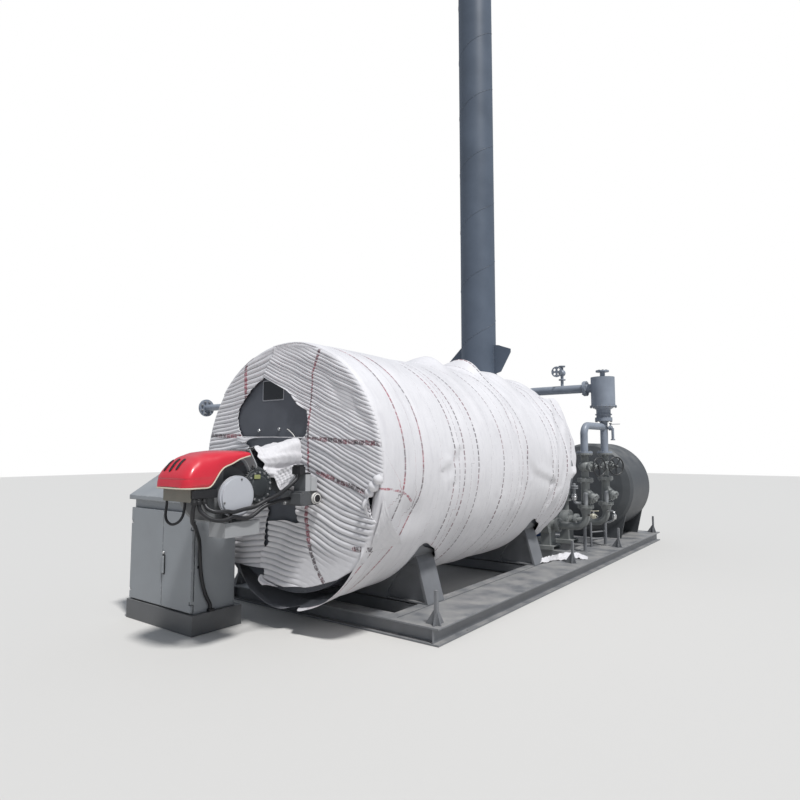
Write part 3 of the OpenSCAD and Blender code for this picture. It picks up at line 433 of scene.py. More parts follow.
sideSet = {"cols": 300, "rows": 128, "thick": 0.002, "puff": 0.007, "fold": 0.0045, "folds": 14,
           "roll": 0.036,
           "seams": (-0.162, 0.057, 0.496, 0.649, 0.876, 1.328, 1.632, 1.828, 2.437, 2.598, 2.825, 3.06),
           "seamHalf": 0.0080, "crossHalf": 0.009, "flatLength": 4.6, "stackY": 2.64, "stackR": 0.222,
           "pinch": 0.004, "pinchWidth": 0.02, "sag": 0.010, "crease": 0.0085, "creaseWidth": 0.042,
           "tearAngle": -1.475, "tearWidth": 0.050, "tearDepth": 0.115}
saddleFronts = (0.468, 2.480)
padSide = ((-0.183, 0.1), (-0.203, 0.513), (-0.198, 0.608), (-0.160, 0.632), (-0.106, 0.628),
           (0.028, 0.577), (0.110, 0.545), (0.238, 0.455), (0.238, 0.1))
sideCrossSeams = (((-0.40, -0.115), (-0.22, -0.14), (-0.10, -0.18), (-0.02, -0.235)),
                  ((-0.36, -0.40), (-0.26, -0.43), (-0.20, -0.42)))
topBunches = ((1.72, 0.20, 0.030), (2.02, 0.10, -0.012), (2.26, 0.09, 0.026),
              (0.55, 0.5, -0.010))  # y, width, lift
sideHumps = ((1.226, 77, 0.085, 0.085, 13), (1.39, 82, 0.045, 0.10, 12), (1.845, 76, 0.125, 0.085, 13),
             (2.06, 80, 0.085, 0.12, 14), (2.27, 66, 0.045, 0.12, 12), (2.98, 72, 0.035, 0.16, 14),
             (2.64, 52, 0.020, 0.2, 8),
             (-0.02, -20, -0.032, 0.17, 9))  # y, angle, lift, width, spread of angle
sideRear = ((-180, 0.965), (-75, 0.968), (-59.8, 0.967), (-50.7, 0.940), (-41.8, 0.940), (-34, 0.940),
            (-19.6, 0.940), (-12, 0.940), (-7, 0.972), (-2.5, 0.940), (0.2, 0.940), (7.6, 0.942),
            (20.7, 0.960), (33, 0.976), (41.8, 1.007), (47, 1.016), (50, 0.951), (55, 0.940), (64, 0.965),
            (80, 0.99), (180, 0.97))
sideCreases = (((0.35, 0.5), (0.47, 3.3), (0.58, 8.0)), ((0.45, 3.6), (0.53, 1.0), (0.505, -5.0)),
               ((1.70, 28.0), (1.79, 12.0), (1.88, 2.0), (1.98, -3.5), (2.15, -6.2), (2.50, -10.5)),
               ((1.655, 14.0), (1.642, 2.0), (1.655, -18.0)), ((1.73, 20.0), (1.725, 4.8), (1.76, -8.0)),
               ((3.06, 44.5), (2.74, 26.0), (2.63, 10.0), (2.565, -1.2), (2.47, -10.3)),
               ((3.15, 38.0), (2.89, 19.7), (2.857, 7.3), (2.83, -1.5), (2.74, -14.0)),
               ((2.43, 41.0), (2.41, 27.0), (2.44, 14.5), (2.452, 4.5)),
               ((2.62, -18.0), (2.50, -28.0), (2.53, -46.0)),
               ((1.95, -11.0), (1.94, -28.0), (1.89, -41.0), (1.76, -53.0)),
               ((1.31, -17.0), (1.30, -30.0), (1.22, -42.0)), ((3.02, 10.0), (3.06, 0.0), (3.10, -12.0)),
               ((1.10, 66.0), (1.02, 45.0), (1.06, 24.0)))


def segmentParts(x, y, a, b, stretch=1.0):
    # share along the segment, signed distance from its line, full distance and length
    d = b - a
    size = np.hypot(*d)
    t = ((x - a[0]) * d[0] + (y - a[1]) * d[1]) / size ** 2
    side = ((x - a[0]) * d[1] - (y - a[1]) * d[0]) / size
    return t, side, np.hypot(side, np.maximum(np.abs(t - 0.5) - 0.5, 0) * size * stretch), size


def seamFields(x, z, lines, width):
    # distance to the nearest seam line, in half widths, and the run along it
    best = np.full(x.shape, 50.0)
    run = np.zeros(x.shape)
    for line in lines:
        q = np.asarray(line)
        walked = 0.0
        for a, b in zip(q[:-1], q[1:]):
            t, side, dist, size = segmentParts(x, z, a, b)
            run = np.where(dist < best, walked + t * size, run)
            best = np.minimum(dist, best)
            walked += size
    return best / width, run


def insidePolygon(x, y, corners):
    # even-odd count of the polygon's edges that a ray towards +x crosses
    q = np.asarray(corners)
    crossings = np.zeros(np.shape(x), int)
    for (ax, ay), (bx, by) in zip(q, np.roll(q, -1, 0)):
        if ay != by:
            crossings += ((ay > y) != (by > y)) & (x < (bx - ax) * (y - ay) / (by - ay) + ax)
    return crossings % 2 == 1


def nearestOnPolygon(x, y, corners):
    # closest point of the polygon's edges to each (x, y)
    q = np.asarray(corners)
    best = np.full(np.shape(x), np.inf)
    outX, outY = np.array(x, float), np.array(y, float)
    for a, b in zip(q, np.roll(q, -1, 0)):
        t = np.clip(segmentParts(x, y, a, b)[0], 0, 1)
        px, py = a[0] + t * (b - a)[0], a[1] + t * (b - a)[1]
        dist = np.hypot(x - px, y - py)
        closer = dist < best
        best = np.where(closer, dist, best)
        outX, outY = np.where(closer, px, outX), np.where(closer, py, outY)
    return outX, outY


def besideCut(cut):
    # points of a ring grid that touch both cut and kept cells
    gone = np.zeros((cut.shape[0] + 2, cut.shape[1]), int)
    gone[1:-1] = cut
    touches = gone[:-1] + gone[1:] + np.roll(gone, 1, 1)[:-1] + np.roll(gone, 1, 1)[1:]
    return (touches > 0) & (touches < 4)


def seamDrift(theta, y):
    # the rings lean a little all round, and swing forward low on the right near the front
    return 0.02 * np.sin(theta * 2.0 + 0.6) - 0.22 * smoothStep(-0.1, -0.95, theta) * bell(y, -0.2, 0.5)


def creaseLift(theta, y):
    # along each crease line the cloth steps: depth * (d / w) exp(1/2 - d^2 / 2 w^2), d the signed distance
    # in metres, and the step dies out past the ends
    total = np.zeros(np.shape(theta))
    for i, line in enumerate(sideCreases):
        q = np.asarray(line, float) * (1.0, math.radians(1) * wrapR)
        best = np.full(np.shape(theta), 9.0)
        signed = np.zeros(np.shape(theta))
        for a, b in zip(q[:-1], q[1:]):
            t, side, dist, size = segmentParts(y, theta * wrapR, a, b, 1.4)
            signed = np.where(dist < best, np.sign(side) * dist, signed)
            best = np.minimum(dist, best)
        share = signed / sideSet["creaseWidth"]
        total += (sideSet["crease"] if i % 2 else -sideSet["crease"]) * share * np.exp(0.5 - share ** 2 / 2)
    return total


def sideRadius(theta, y):
    # wrap radius + puff between neighbouring rings - a pinch at each ring + long folds that run round the
    # boiler, + the bunches near the stack, + humps and creases; the rear follows its own outline by angle
    seams = np.asarray(sideSet["seams"])
    ys = y - seamDrift(theta, y)
    index = np.clip(np.searchsorted(seams, ys) - 1, 0, len(seams) - 2)
    a, b = seams[index], seams[index + 1]
    share = np.clip((ys - a) / (b - a), 0, 1)
    width = np.clip((b - a) / 0.3, 0.4, 1.2)
    puff = sideSet["puff"] * np.sqrt(np.clip(4 * share * (1 - share), 0, 1)) * width
    near = np.min(np.abs(ys[..., None] - seams), axis=-1)
    pinch = sideSet["pinch"] * bell(near, 0, sideSet["pinchWidth"])
    folds = np.zeros_like(theta)
    for k in range(sideSet["folds"]):
        n = 1 + k % 5
        wave = np.sin(n * theta + (5.0 + 2.3 * k) * ys + k * 1.7) * np.cos((n + 1) * theta * 0.7 - k)
        folds += wave / (1 + 0.15 * k)
    sag = sideSet["sag"] * np.clip(-np.sin(theta), 0, 1) ** 2
    top = np.clip(np.sin(theta), 0, 1) ** 3
    bunch = sum(lift * top * bell(ys, place, wide) for place, wide, lift in topBunches)
    degree = np.degrees(theta)
    for place, angle, lift, wide, spread in sideHumps:
        bunch += lift * bell(y, place, wide) * bell(degree, angle, spread)
    base = wrapR - 0.008 + puff - pinch + sideSet["fold"] * 0.42 * folds + sag + bunch
    base = base + creaseLift(theta, y)
    toRear = smoothStep(2.80, 3.18, y)
    rear = np.interp(degree, *zip(*sideRear)) + 0.6 * (base - wrapR)
    onSides = smoothStep(-1.3, -0.8, theta) * smoothStep(1.2, 0.9, theta)
    zigzag = 0.010 * np.sin(9 * theta + 18 * y) * smoothStep(2.5, 3.0, y) * onSides
    return base * (1 - toRear) + rear * toRear + zigzag


def sideRows():
    # rows: in over the front rim, round it, along the boiler, round the rear rim and in to the centre of
    # the rear; gives y, the way inwards, the rows of the barrel and the number of rows before them
    roll = sideSet["roll"]
    share = np.linspace(0, 1, sideSet["rows"])
    share = share - 0.07 * np.sin(2 * np.pi * share)  # closer rows at both ends
    barrel = rimY + roll + (rearY - rimY - 2 * roll) * share
    turn = np.linspace(0, np.pi / 2, 6)[1:]
    frontIn = np.array([0.895, 0.92, wrapR - roll])
    rearIn = np.linspace(wrapR - roll, 0.05, 15)[1:]
    y = np.concatenate([rimY + np.array([0.014, 0.009, 0.003]), rimY + roll - roll * np.cos(turn[:-1]),
                        barrel, rearY - roll + roll * np.sin(turn), np.full(14, rearY)])
    inward = np.concatenate([wrapR - frontIn, roll - roll * np.sin(turn[:-1]), np.zeros(len(barrel)),
                             roll - roll * np.cos(turn), wrapR - rearIn])
    return y, inward, barrel, len(frontIn) + len(turn) - 1


def buildSideWrap():
    # point = (r cos a, y, axis + r sin a), with r from sideRadius on the barrel; the front roll is left
    # out low on the right, where the cloth's free edge sags away
    y, inward, barrel, lead = sideRows()
    row = np.arange(len(y))
    y2, theta = gridOf(y, np.linspace(-np.pi, np.pi, sideSet["cols"], endpoint=False))
    # low on the right the front rows run straight on as a free edge, torn in one place
    free = smoothStep(-2.3, -1.9, theta) * smoothStep(-0.50, -0.66, theta)
    ahead = (row < lead)[:, None]
    straight = np.interp(row, [0, lead], [rimY - 0.014, barrel[0]])[:, None]
    y2 = np.where(ahead, y2 * (1 - free) + straight * free, y2)
    inward2 = inward[:, None] * np.where(ahead, 1 - free, 1.0)
    tear = sideSet["tearDepth"] * bell(theta, sideSet["tearAngle"], sideSet["tearWidth"])
    y2 = y2 + (tear - 0.015 * bell(theta, -1.36, 0.05)) * smoothStep(0.30, 0.0, y2 - rimY)
    radius = sideRadius(theta, np.clip(y2, barrel[0], barrel[-1])) - inward2
    # the rear end's cloth waves, its edge hangs back low on the right, and the whole rear rim is uneven
    rearPart = smoothStep(0.03, 0.25, inward2) * (y2 > 1.0)
    y2 = y2 + rearPart * (0.010 * np.sin(22 * theta + 5 * radius) * np.clip(radius / 0.5, 0, 1) - 0.006)
    lowRight = smoothStep(0.02, -0.25, theta) * smoothStep(-1.1, -0.8, theta)
    y2 = y2 - 0.045 * smoothStep(2.9, 3.2, y2) * lowRight
    y2 = y2 + 0.012 * np.sin(31 * theta) * np.sin(7 * theta) * smoothStep(3.05, 3.2, y2) * (inward2 < 0.04)
    y2 = np.minimum(y2, rearY + 0.008)
    sagging = smoothStep(-2.2, -1.6, theta) * smoothStep(-0.55, -1.25, theta)
    radius = radius + 0.050 * sagging * np.exp(-(y2 - rimY) / 0.30) * (y2 < 1.5)
    # cells inside a notch or the stack hole go, and the points left at their edge move onto the outline
    cellY = (y2[:-1] + np.roll(y2, -1, 1)[1:]) / 2
    cellT = theta[:-1] + np.pi / sideSet["cols"]
    cellR = (radius[:-1] + radius[1:]) / 2
    keep = np.ones(cellY.shape, bool)
    onBarrel = ((row >= lead) & (row < lead + len(barrel)))[:-1, None]
    for front in saddleFronts:
        outline = [(front + a, b) for a, b in padSide]
        cut = insidePolygon(cellY, axisZ + cellR * np.sin(cellT), outline) & onBarrel
        keep &= ~cut
        rim = besideCut(cut)
        zRim = axisZ + radius * np.sin(theta)
        toY, toZ = nearestOnPolygon(y2, zRim, outline)
        steep = np.abs(np.cos(theta)) >= 0.55
        y2 = np.where(rim, toY, y2)
        newTheta = np.arcsin(np.clip((toZ - axisZ) / radius, -1, 1))
        newTheta = np.where(np.cos(theta) < 0, np.sign(theta) * np.pi - newTheta, newTheta)
        theta = np.where(rim & steep, newTheta, theta)
        radius = radius + 0.008 * bell(np.hypot(y2 - (front - 0.03), zRim - 0.60), 0, 0.13)
    x = radius * np.cos(theta)
    cellAway = np.hypot(cellR * np.cos(cellT), cellY - sideSet["stackY"])
    cut = (cellAway < sideSet["stackR"]) & (np.sin(cellT) > 0.3)
    keep &= ~cut
    up = np.sin(theta) > 0.3
    fromStack = np.maximum(np.hypot(x, y2 - sideSet["stackY"]), 1e-6)
    scale = np.where(besideCut(cut) & up, sideSet["stackR"] / fromStack, 1.0)
    x = x * scale
    y2 = np.where(scale != 1.0, sideSet["stackY"] + (y2 - sideSet["stackY"]) * scale, y2)
    collar = up * 0.035 * bell(np.hypot(x, y2 - sideSet["stackY"]), sideSet["stackR"], 0.05)
    top = toFrame(np.stack([x, y2, axisZ + radius * np.sin(theta) + collar], -1))
    made, spread = clothMesh("wrapSide", top, sideSet["thick"], keep, True)
    gap = (y2 - seamDrift(theta, y2))[..., None] - np.asarray(sideSet["seams"])
    closest = np.argmin(np.abs(gap), -1)[..., None]
    nearest = np.take_along_axis(gap, closest, -1)[..., 0] / sideSet["seamHalf"]
    cross, crossRun = seamFields(y2, theta * wrapR, sideCrossSeams, sideSet["crossHalf"])
    onCross = np.abs(cross) < np.abs(nearest)
    redOnes = np.where(onCross, 1.0, 0.25 + 0.5 * smoothStep(1.0, -0.5, y2))
    plain = (inward2 > 0.03) | ((theta < -1.3) & (theta > -2.9) & (y2 < 0.5))
    # left of the tear the loose edge gets painted shade, dark grey on both of its faces, for the blanket's
    # underside hanging in shadow
    paintedEdgeShade = smoothStep(-1.44, -1.50, theta) * smoothStep(-2.9, -2.6, theta) * smoothStep(0.10, 0.02, y2)
    clothFields(made, spread, theta * wrapR, y2 + inward2 * 0.5, np.where(onCross, cross, nearest),
                np.where(onCross, crossRun, theta * wrapR), np.where(plain, 0.0, redOnes), paintedEdgeShade * 1.6)
    return dress(made, clothWhite, node="wrap_side")


wrapSide = buildSideWrap()


# ---- ribbed quilt on the front: two fields of ribs that meet in a chevron, torn open over the front plate

quiltSet = {"height": 0.018, "steps": 8, "thick": 0.003, "edgeR": 0.962, "back": rimY + 0.008,
            "seamHalf": 0.0165,
            "try": 0.0005, "fullPitch": 0.043, "rimR": 0.038, "rimStart": 0.944, "wave": 0.006,
            "ripple": 0.004,
            "dent": 0.012, "curl": 0.010}
pitchRight = ((0.0, 0.043), (1.10, 0.043), (1.20, 0.036), (1.40, 0.033), (1.50, 0.0265),
              (2.4, 0.0265))  # height, pitch
pitchLeft = ((0.0, 0.044), (1.00, 0.044), (1.40, 0.033), (2.4, 0.031))
holeRight = ((-0.13, 2.10), (-0.24, 1.91), (-0.08, 1.845), (0.02, 1.80), (0.10, 1.74), (0.16, 1.68),
             (0.26, 1.62), (0.28, 1.54), (0.265, 1.45), (0.20, 1.40), (0.16, 1.30), (0.19, 1.10),
             (0.16, 0.90), (0.20, 0.81))
lowerLeft = ((0.154, 0.803), (0.035, 0.815), (-0.144, 0.796), (-0.139, 0.623), (-0.219, 0.578),
             (-0.227, 0.463), (-0.179, 0.416), (-0.211, 0.330))
hemLine = ((0.014, 0.325), (0.246, 0.347), (0.387, 0.387), (0.55, 0.435), (0.67, 0.504), (0.786, 0.584),
           (0.846, 0.676), (0.855, 0.722), (0.905, 0.857), (0.871, 0.901), (0.844, 1.012), (0.852, 1.085),
           (0.887, 1.133), (0.930, 1.150))
holeLeft = ((-0.13, 2.10), (-0.24, 1.91), (-0.37, 1.835), (-0.47, 1.745), (-0.54, 1.68), (-0.562, 1.594),
            (-0.545, 1.52), (-0.49, 1.445), (-0.40, 1.363), (-0.33, 1.12), (-0.19, 0.99), (-0.15, 0.86),
            (-0.18, 0.80), (-0.20, 0.62), (-0.185, 0.44))
frontSeams = (((0.378, 2.14), (0.35, 2.02), (0.302, 1.914), (0.29, 1.743), (0.275, 1.428), (0.27, 1.25),
               (0.266, 0.839), (0.30, 0.60), (0.35, 0.50), (0.43, 0.40)),
              ((-0.461, 2.03), (-0.453, 1.72)),
              ((-0.95, 1.462), (-0.52, 1.452)), ((0.26, 1.43), (0.60, 1.40), (0.962, 1.379)),
              ((0.345, 1.185), (0.60, 1.11), (0.93, 1.03)), ((0.715, 0.668), (0.865, 0.672)))


def rimArc(start, stop):
    a = np.radians(np.linspace(start, stop, 60))
    return list(zip(quiltSet["edgeR"] * np.cos(a), axisZ + quiltSet["edgeR"] * np.sin(a)))


def hinge(x, at, width):
    # 0 before the place and x - at after it, rounded: w log(1 + exp((x - at) / w))
    return width * np.log1p(np.exp((x - at) / width))


def rowHeightRight(x, c):
    # rib lines z = c - slope x that fall by 0.44, less left of the seam and, low down, less on the right
    left = 0.12 + 0.32 * smoothStep(0.95, 1.35, c)
    right = 0.10 + 0.33 * smoothStep(1.0, 1.25, c)
    z = c - left * (x - 0.27) - (0.44 - left) * hinge(x, 0.27, 0.015)
    return z - (right - 0.44) * hinge(x, 0.60, 0.045)


def rowHeightLeft(x, c):
    # rib lines that rise to the right, more so near the top
    return c + (0.12 + 0.22 * smoothStep(1.75, 2.05, c)) * (x + 0.6)


def fadeTop(x, z):
    return 1 - 0.8 * smoothStep(2.02, 2.12, z)


def fadeRight(x, z):
    # the ribs run out near the top and low on the right
    return (1 - 0.92 * smoothStep(0.62, 0.42, z - 0.22 * x) * smoothStep(0.0, 0.25, x)) * fadeTop(x, z)


def rowEnds(rowHeight, c, corners):
    # first and last x of each line that lie inside the outline, tried at every millimetre
    x = np.linspace(-0.99, 0.99, 1981)
    inside = insidePolygon(np.broadcast_to(x, (len(c), len(x))), rowHeight(x[None], c[:, None]), corners)
    return x[np.argmax(inside, 1)], x[len(x) - 1 - np.argmax(inside[:, ::-1], 1)], inside.any(1)


def buildQuilt(name, rowHeight, corners, top, cols, ribFade, pitches):
    # points: x runs evenly from the row's first to its last inside point, z = rowHeight(x, c), and the
    # cloth stands out by h sqrt|sin(pi n)| on each rib, plus long soft waves, and bends back round the
    # rim; n = sum of dc / pitch
    tried = np.arange(0.25, top, quiltSet["try"])
    ribNumber = np.cumsum(quiltSet["try"] / np.interp(tried, *zip(*pitches)))
    number = np.arange(math.floor(ribNumber[-1]) * quiltSet["steps"]) / quiltSet["steps"]
    c = np.interp(number, ribNumber, tried)
    first, last, some = rowEnds(rowHeight, c, corners)
    c, first, last, number = (values[some][:, None] for values in (c, first, last, number))
    rib = np.sqrt(np.abs(np.sin(np.pi * number)))
    height = quiltSet["height"] * (np.interp(c, *zip(*pitches)) / quiltSet["fullPitch"]) ** 0.8
    first = first - 0.007 * rib * (first > -0.7)
    share = np.linspace(0, 1, cols)
    share = share + 0.05 * np.sin(2 * np.pi * share) / (2 * np.pi)
    x = first + (last - first) * share
    z = rowHeight(x, c)
    z = z + 0.002 * np.sin(9 * x + 3 * c) + 0.0015 * np.sin(23 * x - 7 * c)
    r = np.hypot(x, z - axisZ)
    fade = ribFade(x, z) * (1 - smoothStep(0.935, 0.965, r))
    index = np.floor(number)
    uneven = 0.82 + 0.18 * np.sin(index * 2.4) * np.sin(5 * x + index)
    wave = quiltSet["wave"] * np.sin(7 * x + 4 * z) * np.sin(5 * z - 3 * x + 1)
    wave = wave + quiltSet["ripple"] * np.sin(17 * x - 11 * z)
    dent = -quiltSet["dent"] * bell((x - 0.62) * 0.8 + (z - 1.70), 0, 0.05) * bell(x, 0.62, 0.22)
    curl = quiltSet["curl"] * np.exp(-(x - first) / 0.025) * (first > -0.75)
    out = 0.002 + height * rib * fade * uneven + (wave + dent) * smoothStep(0.97, 0.85, r) + curl
    rimR = quiltSet["rimR"]
    bend = rimR - np.sqrt(rimR ** 2 - np.clip(r - quiltSet["rimStart"], 0, rimR - 0.001) ** 2)
    y = quiltSet["back"] - np.maximum(out, 0.001) + bend
    made, spread = clothMesh(name, toFrame(np.stack([x, y, z], -1))[::-1], quiltSet["thick"])
    near, run = seamFields(x, z, frontSeams, quiltSet["seamHalf"])
    # the upright seam is thin above
    near = near * (1 + 1.1 * bell(x, 0.30, 0.05) * smoothStep(0.98, 1.06, z))
    redness = np.where((x > 0.68) & (z < 0.73), 1.0, 0.62)
    # the last field is painted shade, strongest in the valleys between the ribs
    fields = (x, z, near, run, redness, (1 - rib) ** 1.3 * fade)
    clothFields(made, spread, *(values[::-1] for values in fields))
    dress(made, clothWhite, node="wrap_front")
    return made


rightOutline = rimArc(98, -3) + list(hemLine[::-1]) + list(lowerLeft[::-1]) + list(holeRight[::-1])
leftOutline = rimArc(98, 232) + list(holeLeft[::-1])
quiltRight = buildQuilt("quiltRight", rowHeightRight, rightOutline, 2.28, 80, fadeRight, pitchRight)
quiltLeft = buildQuilt("quiltLeft", rowHeightLeft, leftOutline, 2.25, 44, fadeTop, pitchLeft)
print("stage: quilt", round(quiltRight["clothArea"], 2), round(quiltLeft["clothArea"], 2), "m2")


# ---- loose cloth: the bunch over the blast tube, the lip of the torn opening, the tied clump and scraps

def crumple(s, t, seed, size):
    # sum of slanted waves of falling height, each folded to a ridge by 1 - 2 |sin|
    local = np.random.default_rng(seed)
    total = np.zeros(np.shape(s))
    for k in range(7):
        angle = local.uniform(0, np.pi)
        freq = (2.2 + 1.9 * k) * np.pi
        wave = np.sin(freq * (s * np.cos(angle) + t * np.sin(angle)) + local.uniform(0, 6))
        total += (1 - 2 * np.abs(wave)) / (1.4 + k)
    return total * size


def patchBetween(leftEdge, rightEdge, rows, cols):
    # straight rulings between two edge curves, each a list of (x, y, z) read as a smooth path
    t = np.linspace(0, 1, rows)
    ends = []
    for edge in (leftEdge, rightEdge):
        path = splinePath(edge, 12)
        share = np.linspace(0, 1, len(path))
        ends.append(np.stack([np.interp(t, share, path[:, k]) for k in range(3)], -1)[:, None])
    s = np.linspace(0, 1, cols)[None, :, None]
    return ends[0] * (1 - s) + ends[1] * s


def looseSheet(name, top, u, v, thick=clothThick, flat=None):
    # a piece of loose cloth; its area, and a flat size that is a square of its area where none is given,
    # are worked out and not used further
    made, spread = clothMesh(name, toFrame(top), thick)
    clothFields(made, spread, u, v)
    dress(made, clothWhite)
    area = made["clothArea"]
    if flat:
        area = min(area, flat[0] * flat[1])
    else:
        flat = (math.sqrt(area) * 1.02, math.sqrt(area) * 1.02)
    return made


def buildScrap(name, leftEdge, rightEdge, rows, cols, lump, seed, pillow=0.0):
    # the patch pushed along its normal by crumple(s, t) and by a pillow 4 s (1 - s)
    top = patchBetween(leftEdge, rightEdge, rows, cols)
    t, s = gridOf(np.linspace(0, 1, rows), np.linspace(0, 1, cols))
    lift = crumple(s, t, seed, lump) + pillow * np.clip(4 * s * (1 - s), 0, 1) * np.clip(5 * t, 0, 1)
    return looseSheet(name, top + gridNormal(top) * lift[..., None], s * 0.4, t * 0.4)


sleeveSet = {"front": -0.715, "long": 0.315, "z": 1.165, "radius": 0.146, "least": 0.130, "startAngle": 206,
             "flare": 0.056, "lump": 0.0055}
sleeveSwells = ((50, 22, 0.145), (112, 40, 0.065), (-15, 25, 0.075))  # angle, spread, height


def buildSleeve():
    # cloth gathered over the blast tube: x = r cos f, z = tube + r sin f; r swells towards the quilt at
    # three angles, flares at the front, the lower right edge runs down along the pleats, and crumple(f, t)
    # goes on top
    t, share = gridOf(np.linspace(0, 1, 80), np.linspace(0, 1, 150))
    start = sleeveSet["startAngle"]
    f = np.radians(start + (-8 - 42 * smoothStep(0.50, 0.80, t) - start) * share)
    degree = np.degrees(f)
    ragged = 0.020 * np.sin(5 * f) + 0.012 * np.sin(13 * f + 1)
    y = sleeveSet["front"] + ragged * (1 - t) + sleeveSet["long"] * t
    swell = sum(height * bell(degree, angle, wide) for angle, wide, height in sleeveSwells)
    pleats = np.sin(10 * f + 2.2 * t + 1.5 * np.sin(2 * f)) * (0.005 + 0.013 * t)
    pleats = pleats + 0.002 * np.sin(27 * f + 5 * t)
    flare = sleeveSet["flare"] * bell(degree, 88, 52) * (1 - t) ** 0.7
    r = sleeveSet["radius"] + (0.012 + swell) * smoothStep(0.0, 1.0, t) ** 1.3 + flare + pleats
    r = np.maximum(r + crumple(f / 4, 0.6 * t, 3, sleeveSet["lump"]), sleeveSet["least"])
    top = np.stack([r * np.cos(f), y, sleeveSet["z"] + r * np.sin(f)], -1)[:, ::-1]
    return looseSheet("clothSleeve", top, f / 3, t * 0.3, flat=(0.95, 0.46))


def buildClump():
    # three tied bulges in a row from the seam up to the rim: half round across (b), |sin 3 pi a| along (a)
    a, b = gridOf(np.linspace(0, 1, 80), np.linspace(-1, 1, 40))
    ends = np.sqrt(np.clip(1 - (2 * a - 1) ** 4, 0, 1))
    bulge = (0.50 + 0.50 * np.abs(np.sin(3 * np.pi * a + 0.35)) ** 0.7) * ends
    across = (0.004 + 0.034 * bulge) * b
    out = 0.044 * bulge * np.sqrt(np.clip(1 - b ** 2, 0, 1)) + 0.0012 * np.sin(26 * b + 9 * a)
    top = np.stack([0.838 + 0.126 * a - 0.86 * across, -0.398 - out, 1.028 + 0.150 * a + 0.60 * across], -1)
    return looseSheet("clothClump", facing(top, 1, -1), a * 0.2, b * 0.05)


def onSide(rows):
    # points of the side wrap's cylinder from their place along the boiler, angle and lift
    return [((wrapR + lift) * math.cos(a), y, axisZ + (wrapR + lift) * math.sin(a))
            for y, a, lift in ((y, math.radians(degrees), lift) for y, degrees, lift in rows)]


buildScrap("clothLip", [(-0.555, -0.405, 1.452), (-0.40, -0.408, 1.446), (-0.10, -0.408, 1.443),
                        (0.265, -0.405, 1.432)],
           [(-0.545, -0.405, 1.415), (-0.44, -0.415, 1.400), (-0.33, -0.411, 1.434),
            (0.0, -0.410, 1.434), (0.265, -0.405, 1.423)], 70, 10, 0.002, 5)
sleeve = buildSleeve()
buildScrap("clothTongue", [(0.135, -0.615, 1.185), (0.165, -0.612, 1.12), (0.200, -0.605, 1.058)],
           [(0.285, -0.53, 1.24), (0.300, -0.55, 1.15), (0.212, -0.60, 1.050)],
           40, 40, 0.005, 8, 0.012)
buildScrap("clothCorner",
           [(-0.222, -0.412, 0.385), (-0.210, -0.440, 0.350), (-0.175, -0.425, 0.318)],
           [(-0.195, -0.408, 0.390), (-0.165, -0.412, 0.352), (-0.02, -0.412, 0.322)],
           30, 24, 0.004, 21, 0.010)
clump = buildClump()
buildScrap("clothStrip", [(0.845, -0.41, 1.05), (0.833, -0.44, 0.97), (0.852, -0.41, 0.89)],
           [(0.880, -0.41, 1.06), (0.872, -0.45, 0.98), (0.862, -0.41, 0.89)],
           40, 16, 0.003, 12, 0.008)
buildScrap("clothFlap",
           onSide(((-0.392, -9.5, 0.004), (-0.392, -15.5, 0.006), (-0.390, -21.5, 0.006),
                   (-0.385, -27.5, 0.005), (-0.350, -33.5, 0.004))),
           onSide(((-0.386, -9.2, 0.006), (-0.338, -15.5, 0.022), (-0.250, -21.5, 0.028),
                   (-0.115, -27.5, 0.024), (-0.010, -32.5, 0.008))),
           60, 40, 0.0015, 14)
print("stage: loose cloth")


# ---- burner hood: a loft of superellipses along y, with a skirt crease, a trim bead and three vents

hoodSet = {"front": -1.350, "rear": -0.850, "half": 0.180, "corner": 0.060, "power": 3.7, "rows": 110,
           "cols": 120,
           "thick": 0.006, "creaseZ": 1.157, "crease": 0.0035, "bead": 0.0048}
hoodTop = ((0.0, 1.108), (0.004, 1.150), (0.012, 1.180), (0.026, 1.206), (0.066, 1.257), (0.122, 1.298),
           (0.2, 1.324), (0.33, 1.337), (0.42, 1.337), (0.48, 1.335), (0.50, 1.330))
hoodEdge = ((0.0, 1.099), (0.170, 1.099), (0.190, 1.107), (0.216, 1.135), (0.238, 1.173), (0.26, 1.204),
            (0.29, 1.229), (0.345, 1.247), (0.409, 1.278), (0.475, 1.296), (0.50, 1.300))


def softInterp(x, pairs):
    # straight interpolation averaged over a short window, so that the profile has no corners
    xs, ys = np.asarray(pairs).T
    return sum(0.2 * np.interp(x + step * np.clip(x / 0.03, 0, 1), xs, ys)
               for step in (-0.012, -0.005, 0, 0.005, 0.012))


def hoodSection(d):
    # half width with a round plan corner, top height and lower edge height at distance d behind the nose
    corner, half = hoodSet["corner"], hoodSet["half"]
    inCorner = np.clip(corner - d, 0, corner)
    width = half - corner + np.sqrt(corner ** 2 - inCorner ** 2)
    return width, softInterp(d, hoodTop), softInterp(d, hoodEdge)


def hoodPoint(d, a):
    # a runs from pi on the left to 0 on the right: x = W |cos a|^(2/n), z = B + (T - B) |sin a|^(2/n)
    width, high, low = hoodSection(d)
    n = hoodSet["power"]
    cosA, sinA = np.cos(a), np.sin(a)
    x = width * np.sign(cosA) * np.abs(cosA) ** (2 / n)
    z = low + (high - low) * np.abs(sinA) ** (2 / n)
    step = hoodSet["crease"] * smoothStep(hoodSet["creaseZ"] + 0.003, hoodSet["creaseZ"] - 0.003, z)
    groove = 0.0018 * np.exp(-((z - hoodSet["creaseZ"]) / 0.004) ** 2)
    x = x - np.sign(x) * (step * 0.6 + groove)
    y = hoodSet["front"] + d + (step + groove) * smoothStep(0.06, 0.0, d)
    return np.stack([x, y, z], -1)


